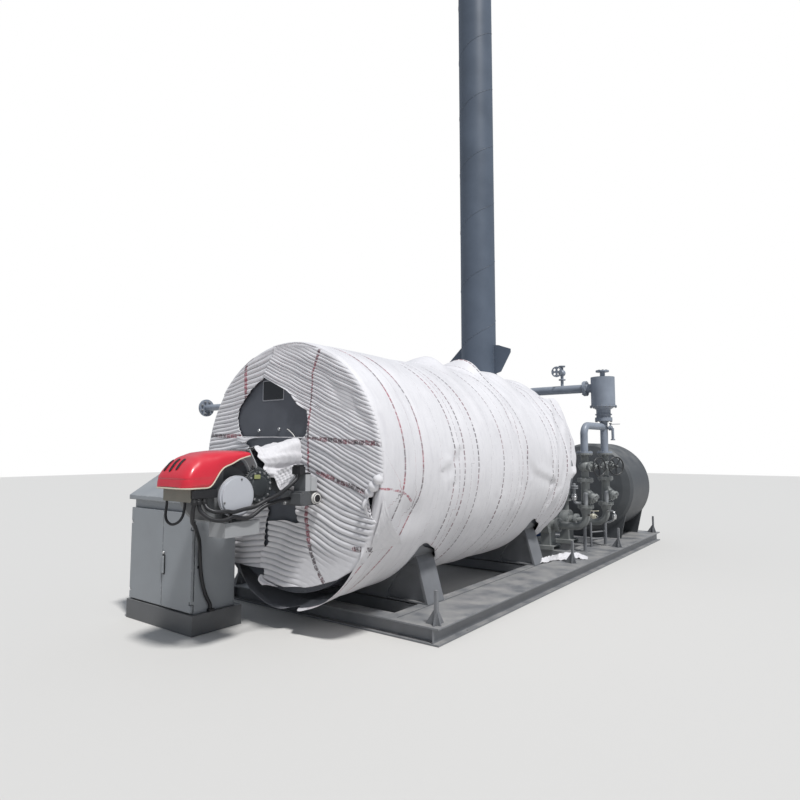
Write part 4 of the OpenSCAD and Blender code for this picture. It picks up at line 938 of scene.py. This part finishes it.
def buildHood():
    # rows lie closer together at the nose
    s = np.linspace(0, 1, hoodSet["rows"])
    d = (hoodSet["rear"] - hoodSet["front"]) * (0.35 * s ** 3 + 0.65 * s ** 1.6)
    d2, a2 = gridOf(d, np.linspace(np.pi, 0, hoodSet["cols"]))
    made, spread = clothMesh("hoodShell", toFrame(hoodPoint(d2, a2)), hoodSet["thick"])
    return dress(made, paints["hood_red"], node="burner_hood")


def hoodTrim():
    # bead along the lower edge, from the rear left corner round the nose to the rear right corner
    d = np.linspace(0.497, 0.0, 90)
    right = hoodPoint(d, np.full(d.shape, 0.0))
    left = right * np.array([-1, 1, 1])
    nose = np.linspace(right[-1], left[-1], 14)[1:-1]
    path = np.concatenate([right, nose, left[::-1]])
    return dress(tubeMesh("hoodTrim", toFrame(path), hoodSet["bead"], 8), trimLook)


def hoodVents():
    # three black capsules laid on the nose slope, painted shade standing for the dark insides of the vent
    # slots: outline points round a slanted centre line, filled by rings
    n = hoodSet["power"]
    wide, tilt = ventSet["wide"], ventSet["tilt"]
    q = np.linspace(0, 1, 7)[:, None]
    t = np.linspace(0, 2 * np.pi, 40, endpoint=False)[None]
    for i, (cx, cd, long) in enumerate(ventSet["places"]):
        cap = np.clip(np.cos(t) * 3, -1, 1) * (long - wide)
        along = q * (cap + wide * np.cos(t))
        across = q * wide * np.sin(t)
        x = cx + along * math.sin(tilt) + across * math.cos(tilt)
        d = cd - along * math.cos(tilt) + across * math.sin(tilt)
        width, high, low = hoodSection(d)
        z = low + (high - low) * (1 - np.abs(x / width) ** n) ** (1 / n)
        lift = ventSet["lift"] - ventSet["sink"] * (q < 0.80)  # a raised rim round a lower field
        top = toFrame(np.stack([x, hoodSet["front"] + d, z + lift], -1))
        piece, spread = clothMesh("hoodVent%d" % i, top, 0.003, None, True)
        dress(piece, blackLook)


trimLook = paintMaterial("look_trim", (0.62, 0.56, 0.44), rough=0.6, edge=0.0)
blackLook = paintMaterial("look_black", (0.012, 0.012, 0.013), rough=0.5, edge=0.0, dust=0.1)
ventSet = {"places": ((-0.096, 0.060, 0.034), (-0.030, 0.060, 0.038), (0.031, 0.064, 0.034)), "wide": 0.011,
           "tilt": math.radians(4), "lift": 0.0030, "sink": 0.0022}
buildHood()
hoodTrim()
hoodVents()
print("stage: hood")


# ---- free conduits: the four routes of the model, with a ribbed skin

cordSet = {"ribs": 0.0045, "ribDepth": 0.05, "sides": 10}
cordRoutes = {
    "cabinet": (0.014, ((165, -1272, 1032), (165, -1272, 1005), (148, -1270, 950), (92, -1231, 887),
                        (10, -1160, 850), (-90, -1080, 810), (-190, -1000, 765), (-290, -915, 705),
                        (-370, -852, 640), (-404, -824, 570), (-413, -811, 500), (-413, -803, 430),
                        (-413, -786, 350), (-413, -758, 270), (-413, -722, 200), (-413, -716, 166))),
    "loop": (0.009, ((-128, -1276, 1011), (-128, -1276, 993), (-129, -1277, 972), (-131, -1279, 948),
                     (-132, -1280, 924), (-126, -1281, 900), (-112, -1280, 880), (-94, -1277, 868),
                     (-73, -1272, 862), (-50, -1264, 865), (-29, -1255, 876), (-14, -1245, 894),
                     (-6, -1236, 920), (-4, -1230, 950), (-3, -1226, 985), (-3, -1226, 1011))),
    "upper": (0.014, ((165, -1200, 1032), (165, -1200, 1012), (190, -1195, 976), (222, -1172, 955),
                      (240, -1134, 948), (245, -1085, 948), (246, -1037, 940), (247, -990, 946),
                      (248, -945, 953), (249, -900, 957), (252, -856, 966), (260, -818, 984),
                      (276, -782, 1004), (297, -748, 1021), (320, -714, 1042), (342, -680, 1072),
                      (358, -640, 1105), (365, -598, 1140), (365, -592, 1168))),
    "lower": (0.014, ((165, -1240, 1032), (165, -1240, 1008), (174, -1232, 962), (200, -1206, 925),
                      (224, -1174, 904), (240, -1136, 894), (245, -1088, 896), (246, -1037, 910),
                      (247, -990, 902), (248, -945, 893), (249, -900, 898), (252, -856, 920),
                      (258, -815, 948), (268, -775, 968), (280, -730, 982), (291, -680, 995),
                      (296, -625, 1000), (296, -592, 1000))),
}


def evenPath(points, step):
    # the path's points again at equal distances
    run = np.concatenate([[0], np.cumsum(np.linalg.norm(np.diff(points, axis=0), axis=1))])
    s = np.linspace(0, run[-1], max(int(run[-1] / step), 4))
    return np.stack([np.interp(s, run, points[:, k]) for k in range(3)], -1), run[-1]


def buildCord(name, radius, route):
    # every other ring of the tube is a little thinner, which gives the spiral cover's ribs
    path, length = evenPath(splinePath(toFrame(np.asarray(route) / 1000.0), 10), cordSet["ribs"] / 2)
    skin = radius * (1 - cordSet["ribDepth"] * (np.arange(len(path)) % 2))
    made = tubeMesh("cord_" + name, path, skin, cordSet["sides"])
    dress(made, paints["cable_black"], node="conduit_" + name)


for cordName, (cordRadius, cordRoute) in cordRoutes.items():
    buildCord(cordName, cordRadius, cordRoute)
print("stage: conduits")


# ---- small fittings: one form set down at many places

def axesOf(axis):
    # the axis and two unit vectors square to it, the first of them level
    n = np.asarray(axis, float) / np.linalg.norm(axis)
    u = np.cross(n, (0.0, 0.0, 1.0) if abs(n[2]) < 0.9 else (1.0, 0.0, 0.0))
    u = u / np.linalg.norm(u)
    return n, u, np.cross(n, u)


def outlineOf(kind):
    # a round, a hexagon, or a superellipse |x|^k + |y|^k = 1 for round-cornered plates
    sides = {"hex": 6, "round": 48}.get(kind, 64)
    power = 1 if isinstance(kind, str) else 2 / kind
    f = np.arange(sides) * 2 * np.pi / sides
    c, s = np.cos(f), np.sin(f)
    return np.stack([np.sign(c) * np.abs(c) ** power, np.sign(s) * np.abs(s) ** power], -1)


def formsAt(name, kind, profile, places, axis, look, slot, body="plant"):
    # ring j at place C: C + h_j n + a_j cx u + b_j cy v over the outline (cx, cy); both ends closed by fans
    outline = outlineOf(kind)
    sides = len(outline)
    profile = np.asarray([(row[0], row[0], row[1]) if len(row) == 2 else row for row in profile], float)
    places = toFrame(np.atleast_2d(places))
    n, u, v = axesOf(axis)
    wide, high, height = (profile[:, k][:, None, None] for k in range(3))
    ring = height * n + wide * outline[:, 0][:, None] * u + high * outline[:, 1][:, None] * v
    one = np.concatenate([ring.reshape(-1, 3), np.stack([profile[0, 2] * n, profile[-1, 2] * n])])
    quads = gridFaces(len(profile), sides, True)
    tris = endFans(sides, (len(profile) - 1) * sides)
    shift = (np.arange(len(places)) * len(one))[:, None, None]
    made = joinFaces(name, (places[:, None] + one[None]).reshape(-1, 3),
                     (quads[None] + shift).reshape(-1, 4), (tris[None] + shift).reshape(-1, 3),
                     smooth=False)
    return dress(made, look, body)


def boltCircle(centre, axis, radius, count, start=0.5):
    # places at equal angles on a circle square to the axis
    n, u, v = axesOf(axis)
    f = (np.arange(count) + start) * 2 * np.pi / count
    return np.asarray(centre, float) + radius * (np.cos(f)[:, None] * u + np.sin(f)[:, None] * v)


def boltHead(size):
    # a hexagon head with a chamfered crown, by radius and height; size is the thread's diameter
    return ((size * 0.92, -0.001), (size * 0.92, size * 0.62), (size * 0.80, size * 0.70))


def nutOnStud(size):
    return ((size * 0.92, -0.001), (size * 0.92, size * 0.75), (size * 0.78, size * 0.85),
            (size * 0.5, size * 0.851), (size * 0.5, size * 1.35), (size * 0.42, size * 1.42))


def plateForm(wide, high, rise, inset=0.0, back=-0.001, crown=0.0):
    # a round-cornered plate, by half sizes; with an inset its top is chamfered up to the crown
    rows = ((wide, high, back), (wide, high, rise))
    return rows + ((wide - inset, high - inset, crown),) if inset else rows


steelLook = paintMaterial("look_bolt", (0.17, 0.17, 0.165), 0.42, metal=0.6, edge=0.3, radius=0.0015,
                          size=12.0)
greyBoltLook = paintMaterial("look_bolt_painted", (0.27, 0.28, 0.29), edge=0.3, radius=0.0015, size=12.0)
whiteLook = paintMaterial("look_white", (0.72, 0.70, 0.66), 0.5, edge=0.0, dust=0.1)
labelLook = paintMaterial("look_plain_label", (0.30, 0.32, 0.13), 0.5, edge=0.0, dust=0.05, blotch=0.03)
creamLook = paintMaterial("look_cream", (0.58, 0.55, 0.44), edge=0.1)
chromeLook = paintMaterial("look_bright", (0.52, 0.52, 0.52), 0.28, metal=0.8, edge=0.0, dust=0.05,
                           blotch=0.03)
frameLook = paintMaterial("look_plate_frame", (0.30, 0.31, 0.33), 0.35, edge=0.0)
fieldLook = paintMaterial("look_plate_field", (0.016, 0.017, 0.019), 0.3, edge=0.0)


def screwRing(name, size, centre, axis, radius, count, look, slot):
    # bolt heads on a circle
    formsAt(name, "hex", boltHead(size), boltCircle(centre, axis, radius, count), axis, look, slot)


def flangeBolts(name, centre, axis, radius, count, size, depth, look=greyBoltLook, slot="pipe_paint"):
    # heads on one face of a flange pair and nuts on studs on the other, depth on each side of the joint
    n = np.asarray(axis, float)
    for part, form, side in (("Heads", boltHead(size), 1), ("Nuts", nutOnStud(size), -1)):
        places = boltCircle(np.asarray(centre, float) + n * depth * side, axis, radius, count)
        formsAt(name + part, "hex", form, places, n * side, look, slot)


def pipeRun(name, points, radius, look, slot, steps=8, sides=12):
    # round pipe along a smooth path through the points
    return dress(tubeMesh(name, toFrame(splinePath(points, steps)), radius, sides), look)


# burner: paints by place, disc screws, finned motor, gas unit, glands, plain labels

def above(axis, limit):
    return lambda tree, place: mathNode(tree, "GREATER_THAN", place[axis], limit)


def below(axis, limit):
    return lambda tree, place: mathNode(tree, "LESS_THAN", place[axis], limit)


def gasRearAndLitFace(tree, place):
    # light grey on the gas unit: its rear part, and its right face as a painted lit side, the front face
    # staying darker
    return mathNode(tree, "MAXIMUM", above("Y", frontY - 0.505)(tree, place),
                    above("X", 0.4035)(tree, place))


def casingLight(tree, place):
    # light parts of the casing: the low bracket, the plate at y -0.802, and less so the front of the cheeks
    fromPlate = mathNode(tree, "ABSOLUTE", mathNode(tree, "SUBTRACT", place["Y"], frontY - 0.802))
    low = mathNode(tree, "MAXIMUM", below("Z", 0.8745)(tree, place),
                   mathNode(tree, "LESS_THAN", fromPlate, 0.0055))
    cheeks = mathNode(tree, "GREATER_THAN", mathNode(tree, "ABSOLUTE", place["X"]), 0.0895)
    return mathNode(tree, "MAXIMUM", low, times(tree, cheeks, below("Y", frontY - 1.03)(tree, place), 0.45))


gasLook = placeLook("look_gas_train", "gas_train", (0.115, 0.12, 0.125), 0.45,
                    ((gasRearAndLitFace, (0.40, 0.405, 0.41)), (below("Z", 1.0535), (0.090, 0.094, 0.098)),
                     (above("Z", 1.1695), (0.020, 0.020, 0.022))))
# the casing's near-black base colour is painted shade for the scroll housing under the hood; the masked
# parts are painted light grey
placeLook("look_burner_body", "burner_body", (0.055, 0.058, 0.062), 0.5,
          ((casingLight, (0.30, 0.305, 0.31)),))
motor = (0.132, -0.768, 1.090)
motorFace = (0.1755, motor[1], motor[2])


def finBand(name, centre, radius, x0, x1, fins, height, slot):
    # band of fins along x round a motor: r = R + height * clipped cos(fins f), with ends that dip inside
    x = np.array([x0, x0, x0 + 0.002, x1 - 0.002, x1, x1])
    grow = np.array([-1.0, 0.0, 1.0, 1.0, 0.0, -1.0])[:, None]
    f = np.linspace(0, 2 * np.pi, fins * 12, endpoint=False)
    fin = np.clip(1.6 * np.cos(fins * f), -1, 1) * 0.5 + 0.5
    r = radius + 0.0005 + np.maximum(grow, 0) * height * fin + np.minimum(grow, 0) * 0.010
    x2 = np.broadcast_to((centre[0] + x)[:, None], r.shape)
    top = toFrame(np.stack([x2, centre[1] + r * np.cos(f), centre[2] + r * np.sin(f)], -1))
    dress(clothMesh(name, top, 0.004, None, True)[0], paints[slot])


finBand("motorFins", motor, 0.118, 0.003, 0.027, 44, 0.009, "motor_dark")
screwRing("motorScrews", 0.009, motorFace, toRight, 0.095, 14, chromeLook, "motor_dark")
plateY = -0.3765  # face of the front plate
for row in (
        ("discScrews", "round", ((0.007, 0.0), (0.007, 0.003), (0.005, 0.0055)),
         boltCircle((0.2158, -0.975, 1.035), toRight, 0.114, 3, 0.15), toRight, steelLook, "damper_grey"),
        ("motorCover", "round", ((0.072, -0.001), (0.072, 0.004), (0.064, 0.009), (0.030, 0.012)),
         motorFace, toRight, paints["motor_dark"], "motor_dark"),
        ("motorLabel", 14, plateForm(0.026, 0.0145, 0.0012), (0.189, motor[1] - 0.03, motor[2] + 0.066),
         toRight, labelLook, "motor_dark"),
        ("glands", "round", ((0.0215, 0.0), (0.0215, 0.020), (0.0185, 0.022), (0.0185, 0.034)),
         [(0.165, y, 0.998) for y in (-1.272, -1.240, -1.200)], upward, blackLook, "cable_black"),
        ("gasFittingRing", "round", ((0.0395, -0.012), (0.0395, 0.006), (0.034, 0.010), (0.028, 0.0105)),
         (0.422, -0.462, 1.000), toRight, whiteLook, "burner_grey"),
        # a black disc in the white ring, painted shade for the fitting's open hole
        ("gasFittingHole", "round", ((0.026, 0.0), (0.026, 0.0115), (0.022, 0.013)), (0.424, -0.462, 1.000),
         toRight, blackLook, "wheel_black"),
        ("gasBoxScrews", "round", ((0.005, -0.001), (0.005, 0.003)),
         [(0.4045, y, z) for y in (-0.575, -0.52) for z in (0.968, 1.038)], toRight, steelLook,
         "burner_grey"),
        ("gasCover", 9, plateForm(0.060, 0.040, 0.006, 0.004, crown=0.009), (0.3475, -0.590, 1.003),
         toFront, gasLook,
         "burner_grey"),
        ("gasBrightBolt", "hex", boltHead(0.014), (0.245, -0.591, 0.967), toFront, chromeLook,
         "burner_grey"),
        ("gasSwitchCap", 9, ((0.036, 0.022, -0.001), (0.036, 0.022, 0.010), (0.030, 0.017, 0.013)),
         (0.359, -0.5755, 1.224), upward, blackLook, "wheel_black"),
        ("plateBolts", "hex", boltHead(0.012),
         ((-0.155, -0.8065, 1.227), (0.155, -0.8065, 1.227), (0.092, -0.8065, 1.333),
          (-0.092, -0.8065, 1.333)),
         toFront, steelLook, "burner_grey"),
        # front plate: blank plate in a thin frame, two bolts
        ("blankPlate", 24, plateForm(0.125, 0.0825, 0.0012), (-0.148, plateY, 1.8065), toFront, frameLook,
         "shell_steel"),
        ("blankPlateField", 24, plateForm(0.115, 0.0735, 0.0021, back=0.0), (-0.148, plateY, 1.8065),
         toFront, fieldLook,
         "shell_steel"),
        ("frontBolts", "hex", boltHead(0.016), ((-0.302, plateY, 1.493), (-0.068, plateY, 1.501)), toFront,
         chromeLook,
         "shell_steel"),
        # cabinet: lock plate and barrel on the right door
        ("lockPlate", 8, ((0.017, 0.075, -0.001), (0.017, 0.075, 0.004), (0.014, 0.072, 0.007)),
         (-0.787, -0.8745, 0.47), toFront, blackLook, "cabinet_paint", "door_right"),
        ("lockBarrel", "round", ((0.012, 0.0), (0.012, 0.009), (0.010, 0.011)), (-0.787, -0.8745, 0.56),
         toFront, chromeLook, "cabinet_paint", "door_right")):
    formsAt(*row)
pipeRun("looseWire", ((0.019, -0.379, 1.499), (0.040, -0.388, 1.494), (0.063, -0.393, 1.483),
                      (0.108, -0.396, 1.452), (0.130, -0.400, 1.425)), 0.0035, whiteLook, "shell_steel", 12,
        6)
print("stage: burner, plate and cabinet fittings")

# oil nozzle's flange, then the stack: nuts round the joint, and the spiral weld of its pipe
stackSet = {"joint": 2.205, "radius": 0.203, "lead": 0.72, "top": 7.93, "bead": 0.0026}
stackPaint = paints["stack_paint"]
flangeBolts("nozzleBolt", (-1.391, -0.11, 1.735), toLeft, 0.058, 8, 0.012, 0.0095)
flangeBolts("stackBolt", (0, 2.64, stackSet["joint"]), upward, 0.2095, 16, 0.008, 0.0142, stackPaint,
            "stack_paint")


def buildSpiral():
    # helix of the pipe's weld: (R cos f, R sin f, z) with z = z0 + lead f / 2 pi, a low bead
    z = np.linspace(stackSet["joint"] + 0.03, stackSet["top"], 1500)
    f = (z - stackSet["joint"]) / stackSet["lead"] * 2 * np.pi + 1.0
    r = stackSet["radius"] + 0.0002
    path = np.stack([r * np.cos(f), sideSet["stackY"] + r * np.sin(f), z], -1)
    dress(tubeMesh("stackSeam", toFrame(path), stackSet["bead"], 6), stackPaint)


buildSpiral()
print("stage: nozzle and stack fittings")


# rear group: bolts of every flange pair, valve bonnets with yokes, strainer covers, motor fins and labels
rearSet = {"risers": (("left", 0.870, 3.680, 20), ("right", 0.915, 4.300, 34)),
           "joints": (1.300, 0.975, 0.660),
           "bolt": 0.012, "circle": 0.074, "half": 0.0202, "valveZ": 1.1375, "pumpZ": 0.410,
           "screen": (0.7646, -0.1906, -0.6157)}
iron = (paints["valve_iron"], "valve_iron")
ironBolts = (greyBoltLook, "valve_iron")


def along(start, way, distance):
    return np.asarray(start, float) + np.asarray(way, float) * distance


def riserFittings(tag, x, y, turn):
    for k, z in enumerate(rearSet["joints"]):
        flangeBolts("pipeBolt%d%s" % (k, tag), (x, y, z), upward, rearSet["circle"], 8, rearSet["bolt"],
                    rearSet["half"])
    pumpZ = rearSet["pumpZ"]
    way = (math.cos(math.radians(turn)), -math.sin(math.radians(turn)), 0.0)
    body, start, screen = (x, y, rearSet["valveZ"]), (x, y, 0.8475), rearSet["screen"]
    box = (-0.105, y - 0.055, 0.532)
    flangeBolts("pumpBolt" + tag, (0.520, y, pumpZ), toRight, 0.066, 8, rearSet["bolt"], rearSet["half"],
                *ironBolts)
    screwRing("casingBolts" + tag, 0.011, (0.435, y, pumpZ), toRight, 0.112, 10, *ironBolts)
    screwRing("bonnetBolts" + tag, 0.009, along(body, way, 0.106), way, 0.052, 6, *ironBolts)
    screwRing("screenBolts" + tag, 0.010, along(start, screen, 0.162), screen, 0.056, 6, *ironBolts)
    screwRing("dischargeBolts" + tag, 0.012, (0.380, y, 0.682), upward, 0.055, 4, *ironBolts)
    for name, profile, centre, axis in (
            ("casingRim", ((0.137, -0.010), (0.137, 0.006), (0.134, 0.009), (0.098, 0.010)),
             (0.380, y, pumpZ), toRight),
            ("bonnetNeck", ((0.034, 0.104), (0.030, 0.112), (0.024, 0.128), (0.024, 0.146), (0.030, 0.147),
                            (0.030, 0.156), (0.020, 0.158)), body, way),
            ("yokeBridge", ((0.020, 0.166), (0.029, 0.168), (0.029, 0.178), (0.018, 0.186)), body, way),
            ("screenCover", ((0.042, 0.160), (0.042, 0.168), (0.036, 0.174), (0.014, 0.177), (0.014, 0.190),
                             (0.011, 0.193)), start, screen),
            ("screenJoint", ((0.060, 0.132), (0.0685, 0.134), (0.0685, 0.1405), (0.060, 0.142)), start,
             screen)):
        formsAt(name + tag, "round", profile, centre, axis, *iron)
    for sign in (-1, 1):
        arm = [along(body, way, h) + np.array([0, 0, sign * w]) for h, w in
               ((0.104, 0.044), (0.118, 0.046), (0.140, 0.042), (0.162, 0.028), (0.174, 0.018))]
        pipeRun("yokeArm%s%d" % (tag, sign + 1), arm, 0.0075, *iron, 6, 10)
    finBand("pumpMotorFins" + tag, (0.0, y, pumpZ), 0.118, -0.292, 0.052, 40, 0.008, "motor_blue")
    lid = ((0.0475, 0.0325, -0.001), (0.0475, 0.0325, 0.004), (0.044, 0.029, 0.006))
    formsAt("motorBoxLid" + tag, 9, lid, box, toFront, paints["motor_blue"], "motor_blue")
    formsAt("pumpLabel" + tag, 16, plateForm(0.030, 0.016, 0.007, back=0.0055), box, toFront, labelLook,
            "motor_blue")


for riser in rearSet["risers"]:
    riserFittings(*riser)
flangeBolts("neckBolt", (0.915, 4.300, 1.735), upward, 0.0992, 12, 0.0085, 0.0222)
flangeBolts("separatorRim", (0.915, 4.300, 1.907), upward, 0.1595, 18, 0.009, 0.0072)
flangeBolts("headerBolt", (0.685, 4.300, 2.155), toRight, 0.080, 8, 0.013, rearSet["half"])
for k, z, sign in ((0, 2.301, 1), (1, 2.474, -1)):
    screwRing("branchBolts%d" % k, 0.009, (0.365, 4.300, z), (0, 0, sign), 0.034, 4, greyBoltLook,
              "pipe_paint")
screwRing("topFlangeNuts", 0.011, (0.915, 4.300, 2.380), upward, 0.062, 8, steelLook, "pipe_paint")
formsAt("cockNut", "hex", ((0.017, 0.0), (0.017, 0.010), (0.014, 0.012)), (1.000, 4.300, 1.676), upward,
        steelLook,
        "pipe_paint")
print("stage: rear fittings")

# small drains and cocks seen low between the risers
for name, points, radius, look, steps in (
        ("drainStub", ((0.900, 3.655, 0.560), (0.960, 3.625, 0.556), (1.045, 3.585, 0.552)), 0.011,
         steelLook, 8),
        ("drainLever", ((0.950, 3.626, 0.612), (0.985, 3.611, 0.613), (1.055, 3.580, 0.622)), 0.0065,
         creamLook, 6),
        ("bentDrain", ((0.930, 4.270, 0.560), (0.985, 4.235, 0.572), (1.035, 4.212, 0.556),
                       (1.050, 4.205, 0.515), (1.035, 4.205, 0.465), (0.985, 4.215, 0.432),
                       (0.940, 4.235, 0.420)), 0.012, chromeLook, 8),
        ("sideDrop", ((0.862, 3.672, 0.705), (0.815, 3.600, 0.700), (0.785, 3.560, 0.715),
                      (0.780, 3.552, 0.760), (0.780, 3.550, 0.835), (0.780, 3.550, 0.925)), 0.017,
         greyBoltLook, 8)):
    pipeRun(name, points, radius, look, "valve_iron", steps)
for name, profile, places, axis, look in (
        ("drainCock", ((0.013, -0.040), (0.022, -0.038), (0.022, -0.024), (0.031, -0.014), (0.034, 0.0),
                       (0.031, 0.014), (0.022, 0.024), (0.022, 0.038), (0.013, 0.040)),
         (0.985, 3.612, 0.555), (0.905, -0.426, 0), creamLook),
        ("drainStem", ((0.008, 0.0), (0.008, 0.045), (0.012, 0.046), (0.012, 0.054)), (0.985, 3.612, 0.562),
         upward, chromeLook),
        ("bentCock", ((0.013, -0.030), (0.024, -0.028), (0.026, 0.0), (0.024, 0.028), (0.013, 0.030)),
         (1.046, 4.2055, 0.500), (0.12, 0.0, 1.0), chromeLook),
        ("sideFlanges", ((0.017, -0.031), (0.046, -0.030), (0.046, -0.0165), (0.030, -0.016),
                         (0.030, -0.006), (0.046, -0.0055), (0.046, 0.008), (0.018, 0.009), (0.018, 0.030),
                         (0.012, 0.034)),
         (0.780, 3.550, 0.905), upward, greyBoltLook),
        ("sideCock", ((0.017, -0.040), (0.027, -0.037), (0.029, -0.010), (0.038, 0.0), (0.029, 0.010),
                      (0.027, 0.037), (0.017, 0.040)), (0.780, 3.551, 0.775), upward, chromeLook),
        ("domedStubs", ((0.029, 0.0), (0.029, 0.125), (0.026, 0.140), (0.018, 0.150), (0.006, 0.154)),
         ((0.895, 3.618, 0.679), (0.945, 4.238, 0.669)), upward, greyBoltLook)):
    formsAt(name, "round", profile, places, axis, look, "valve_iron")
print("stage: small drains")


# ---- scraps of the wrap's cloth left on the skid by the rear saddle

scrapSet = {"cols": 46, "lump": 0.012, "hump": 0.045, "base": 0.12, "gap": 0.003}


def skidScrap(name, places, wide, seed):
    # a crumpled strip along the places (x, y): height = base + crumple + hump sin(pi t) cos(pi s)
    base = scrapSet["base"]
    path = splinePath([(x, y, base) for x, y in places], 14)
    t, s = gridOf(np.linspace(0, 1, len(path)), np.linspace(-0.5, 0.5, scrapSet["cols"]))
    way = np.gradient(path, axis=0)
    side = np.stack([-way[:, 1], way[:, 0]], -1)
    side = side / np.linalg.norm(side, axis=1, keepdims=True)
    breadth = wide * (0.55 + 0.45 * np.sin(np.pi * t)) * (1 + 0.25 * np.sin(9 * t + seed))
    hump = scrapSet["hump"] * np.sin(np.pi * t) * np.cos(np.pi * s)
    lump = np.abs(crumple(s * 0.8, t * 1.6, seed, scrapSet["lump"])) + hump
    top = np.stack([path[:, :1] + side[:, :1] * s * breadth, path[:, 1:2] + side[:, 1:] * s * breadth,
                    base + scrapSet["gap"] + lump * np.clip(6 * t * (1 - t), 0, 1)], -1)
    looseSheet(name, facing(top, 2, 1), s * wide, t * 0.6)


skidScrap("scrap_on_skid", [(0.700, 2.93), (0.80, 3.04), (0.92, 3.20), (1.035, 3.24)], 0.22, 31)
skidScrap("scrap_by_saddle", [(0.700, 2.60), (0.76, 2.78), (0.73, 2.90)], 0.07, 12)


# ---- camera, light and ground

camSet = {"place": (3.4277, frontY - 3.4895, 1.340), "pitch": 0.0840, "turn": 0.6431, "lens": 26.685,
          "sensor": 36.0,
          "farEnd": 200.0}
sunSet = {"energy": 3.35, "angle": 0.12, "way": (-0.46, 0.17, -0.87)}  # high, from the right
skySet = {"color": (0.80, 0.88, 1.0), "strength": 0.40, "floor": (0.60, 0.585, 0.56), "floorSize": 60}
scene = bpy.context.scene
camera = bpy.data.objects.new("camera", bpy.data.cameras.new("camera"))
scene.collection.objects.link(camera)
camera.data.sensor_width = camSet["sensor"]
camera.data.lens = camSet["lens"]
camera.data.clip_end = camSet["farEnd"]
camera.location = camSet["place"]
camera.rotation_euler = (math.pi / 2 + camSet["pitch"], 0.0, camSet["turn"])
scene.camera = camera

sun = bpy.data.objects.new("sun", bpy.data.lights.new("sun", "SUN"))
sun.data.energy = sunSet["energy"]
sun.data.angle = sunSet["angle"]
sun.rotation_euler = Vector(sunSet["way"]).to_track_quat("-Z", "Y").to_euler()
scene.collection.objects.link(sun)

# the soft blue sky lights the scene, and the camera sees plain white behind it
world = bpy.data.worlds.new("sky")
scene.world = world
world.use_nodes = True
tree = world.node_tree
setInputs(tree, tree.nodes["Background"], {"Color": skySet["color"], "Strength": skySet["strength"]})
white = addNode(tree, "Background", {"Color": (1.0, 1.0, 1.0), "Strength": 1.0}).outputs[0]
seen = addNode(tree, "LightPath").outputs["Is Camera Ray"]
mixed = addNode(tree, "MixShader", {0: seen, 1: tree.nodes["Background"].outputs[0], 2: white}).outputs[0]
setInputs(tree, tree.nodes["World Output"], {"Surface": mixed})

bpy.ops.mesh.primitive_plane_add(size=skySet["floorSize"], location=(0, 0, -0.002))
floor = bpy.context.object
floor.name = "floor"
pale, paleTree, paleShader = newMaterial("pale_floor")
setInputs(paleTree, paleShader, {"Base Color": skySet["floor"], "Roughness": 0.9})
floor.data.materials.append(pale)
scene.view_settings.view_transform = "Standard"

print("stage: scene finished")
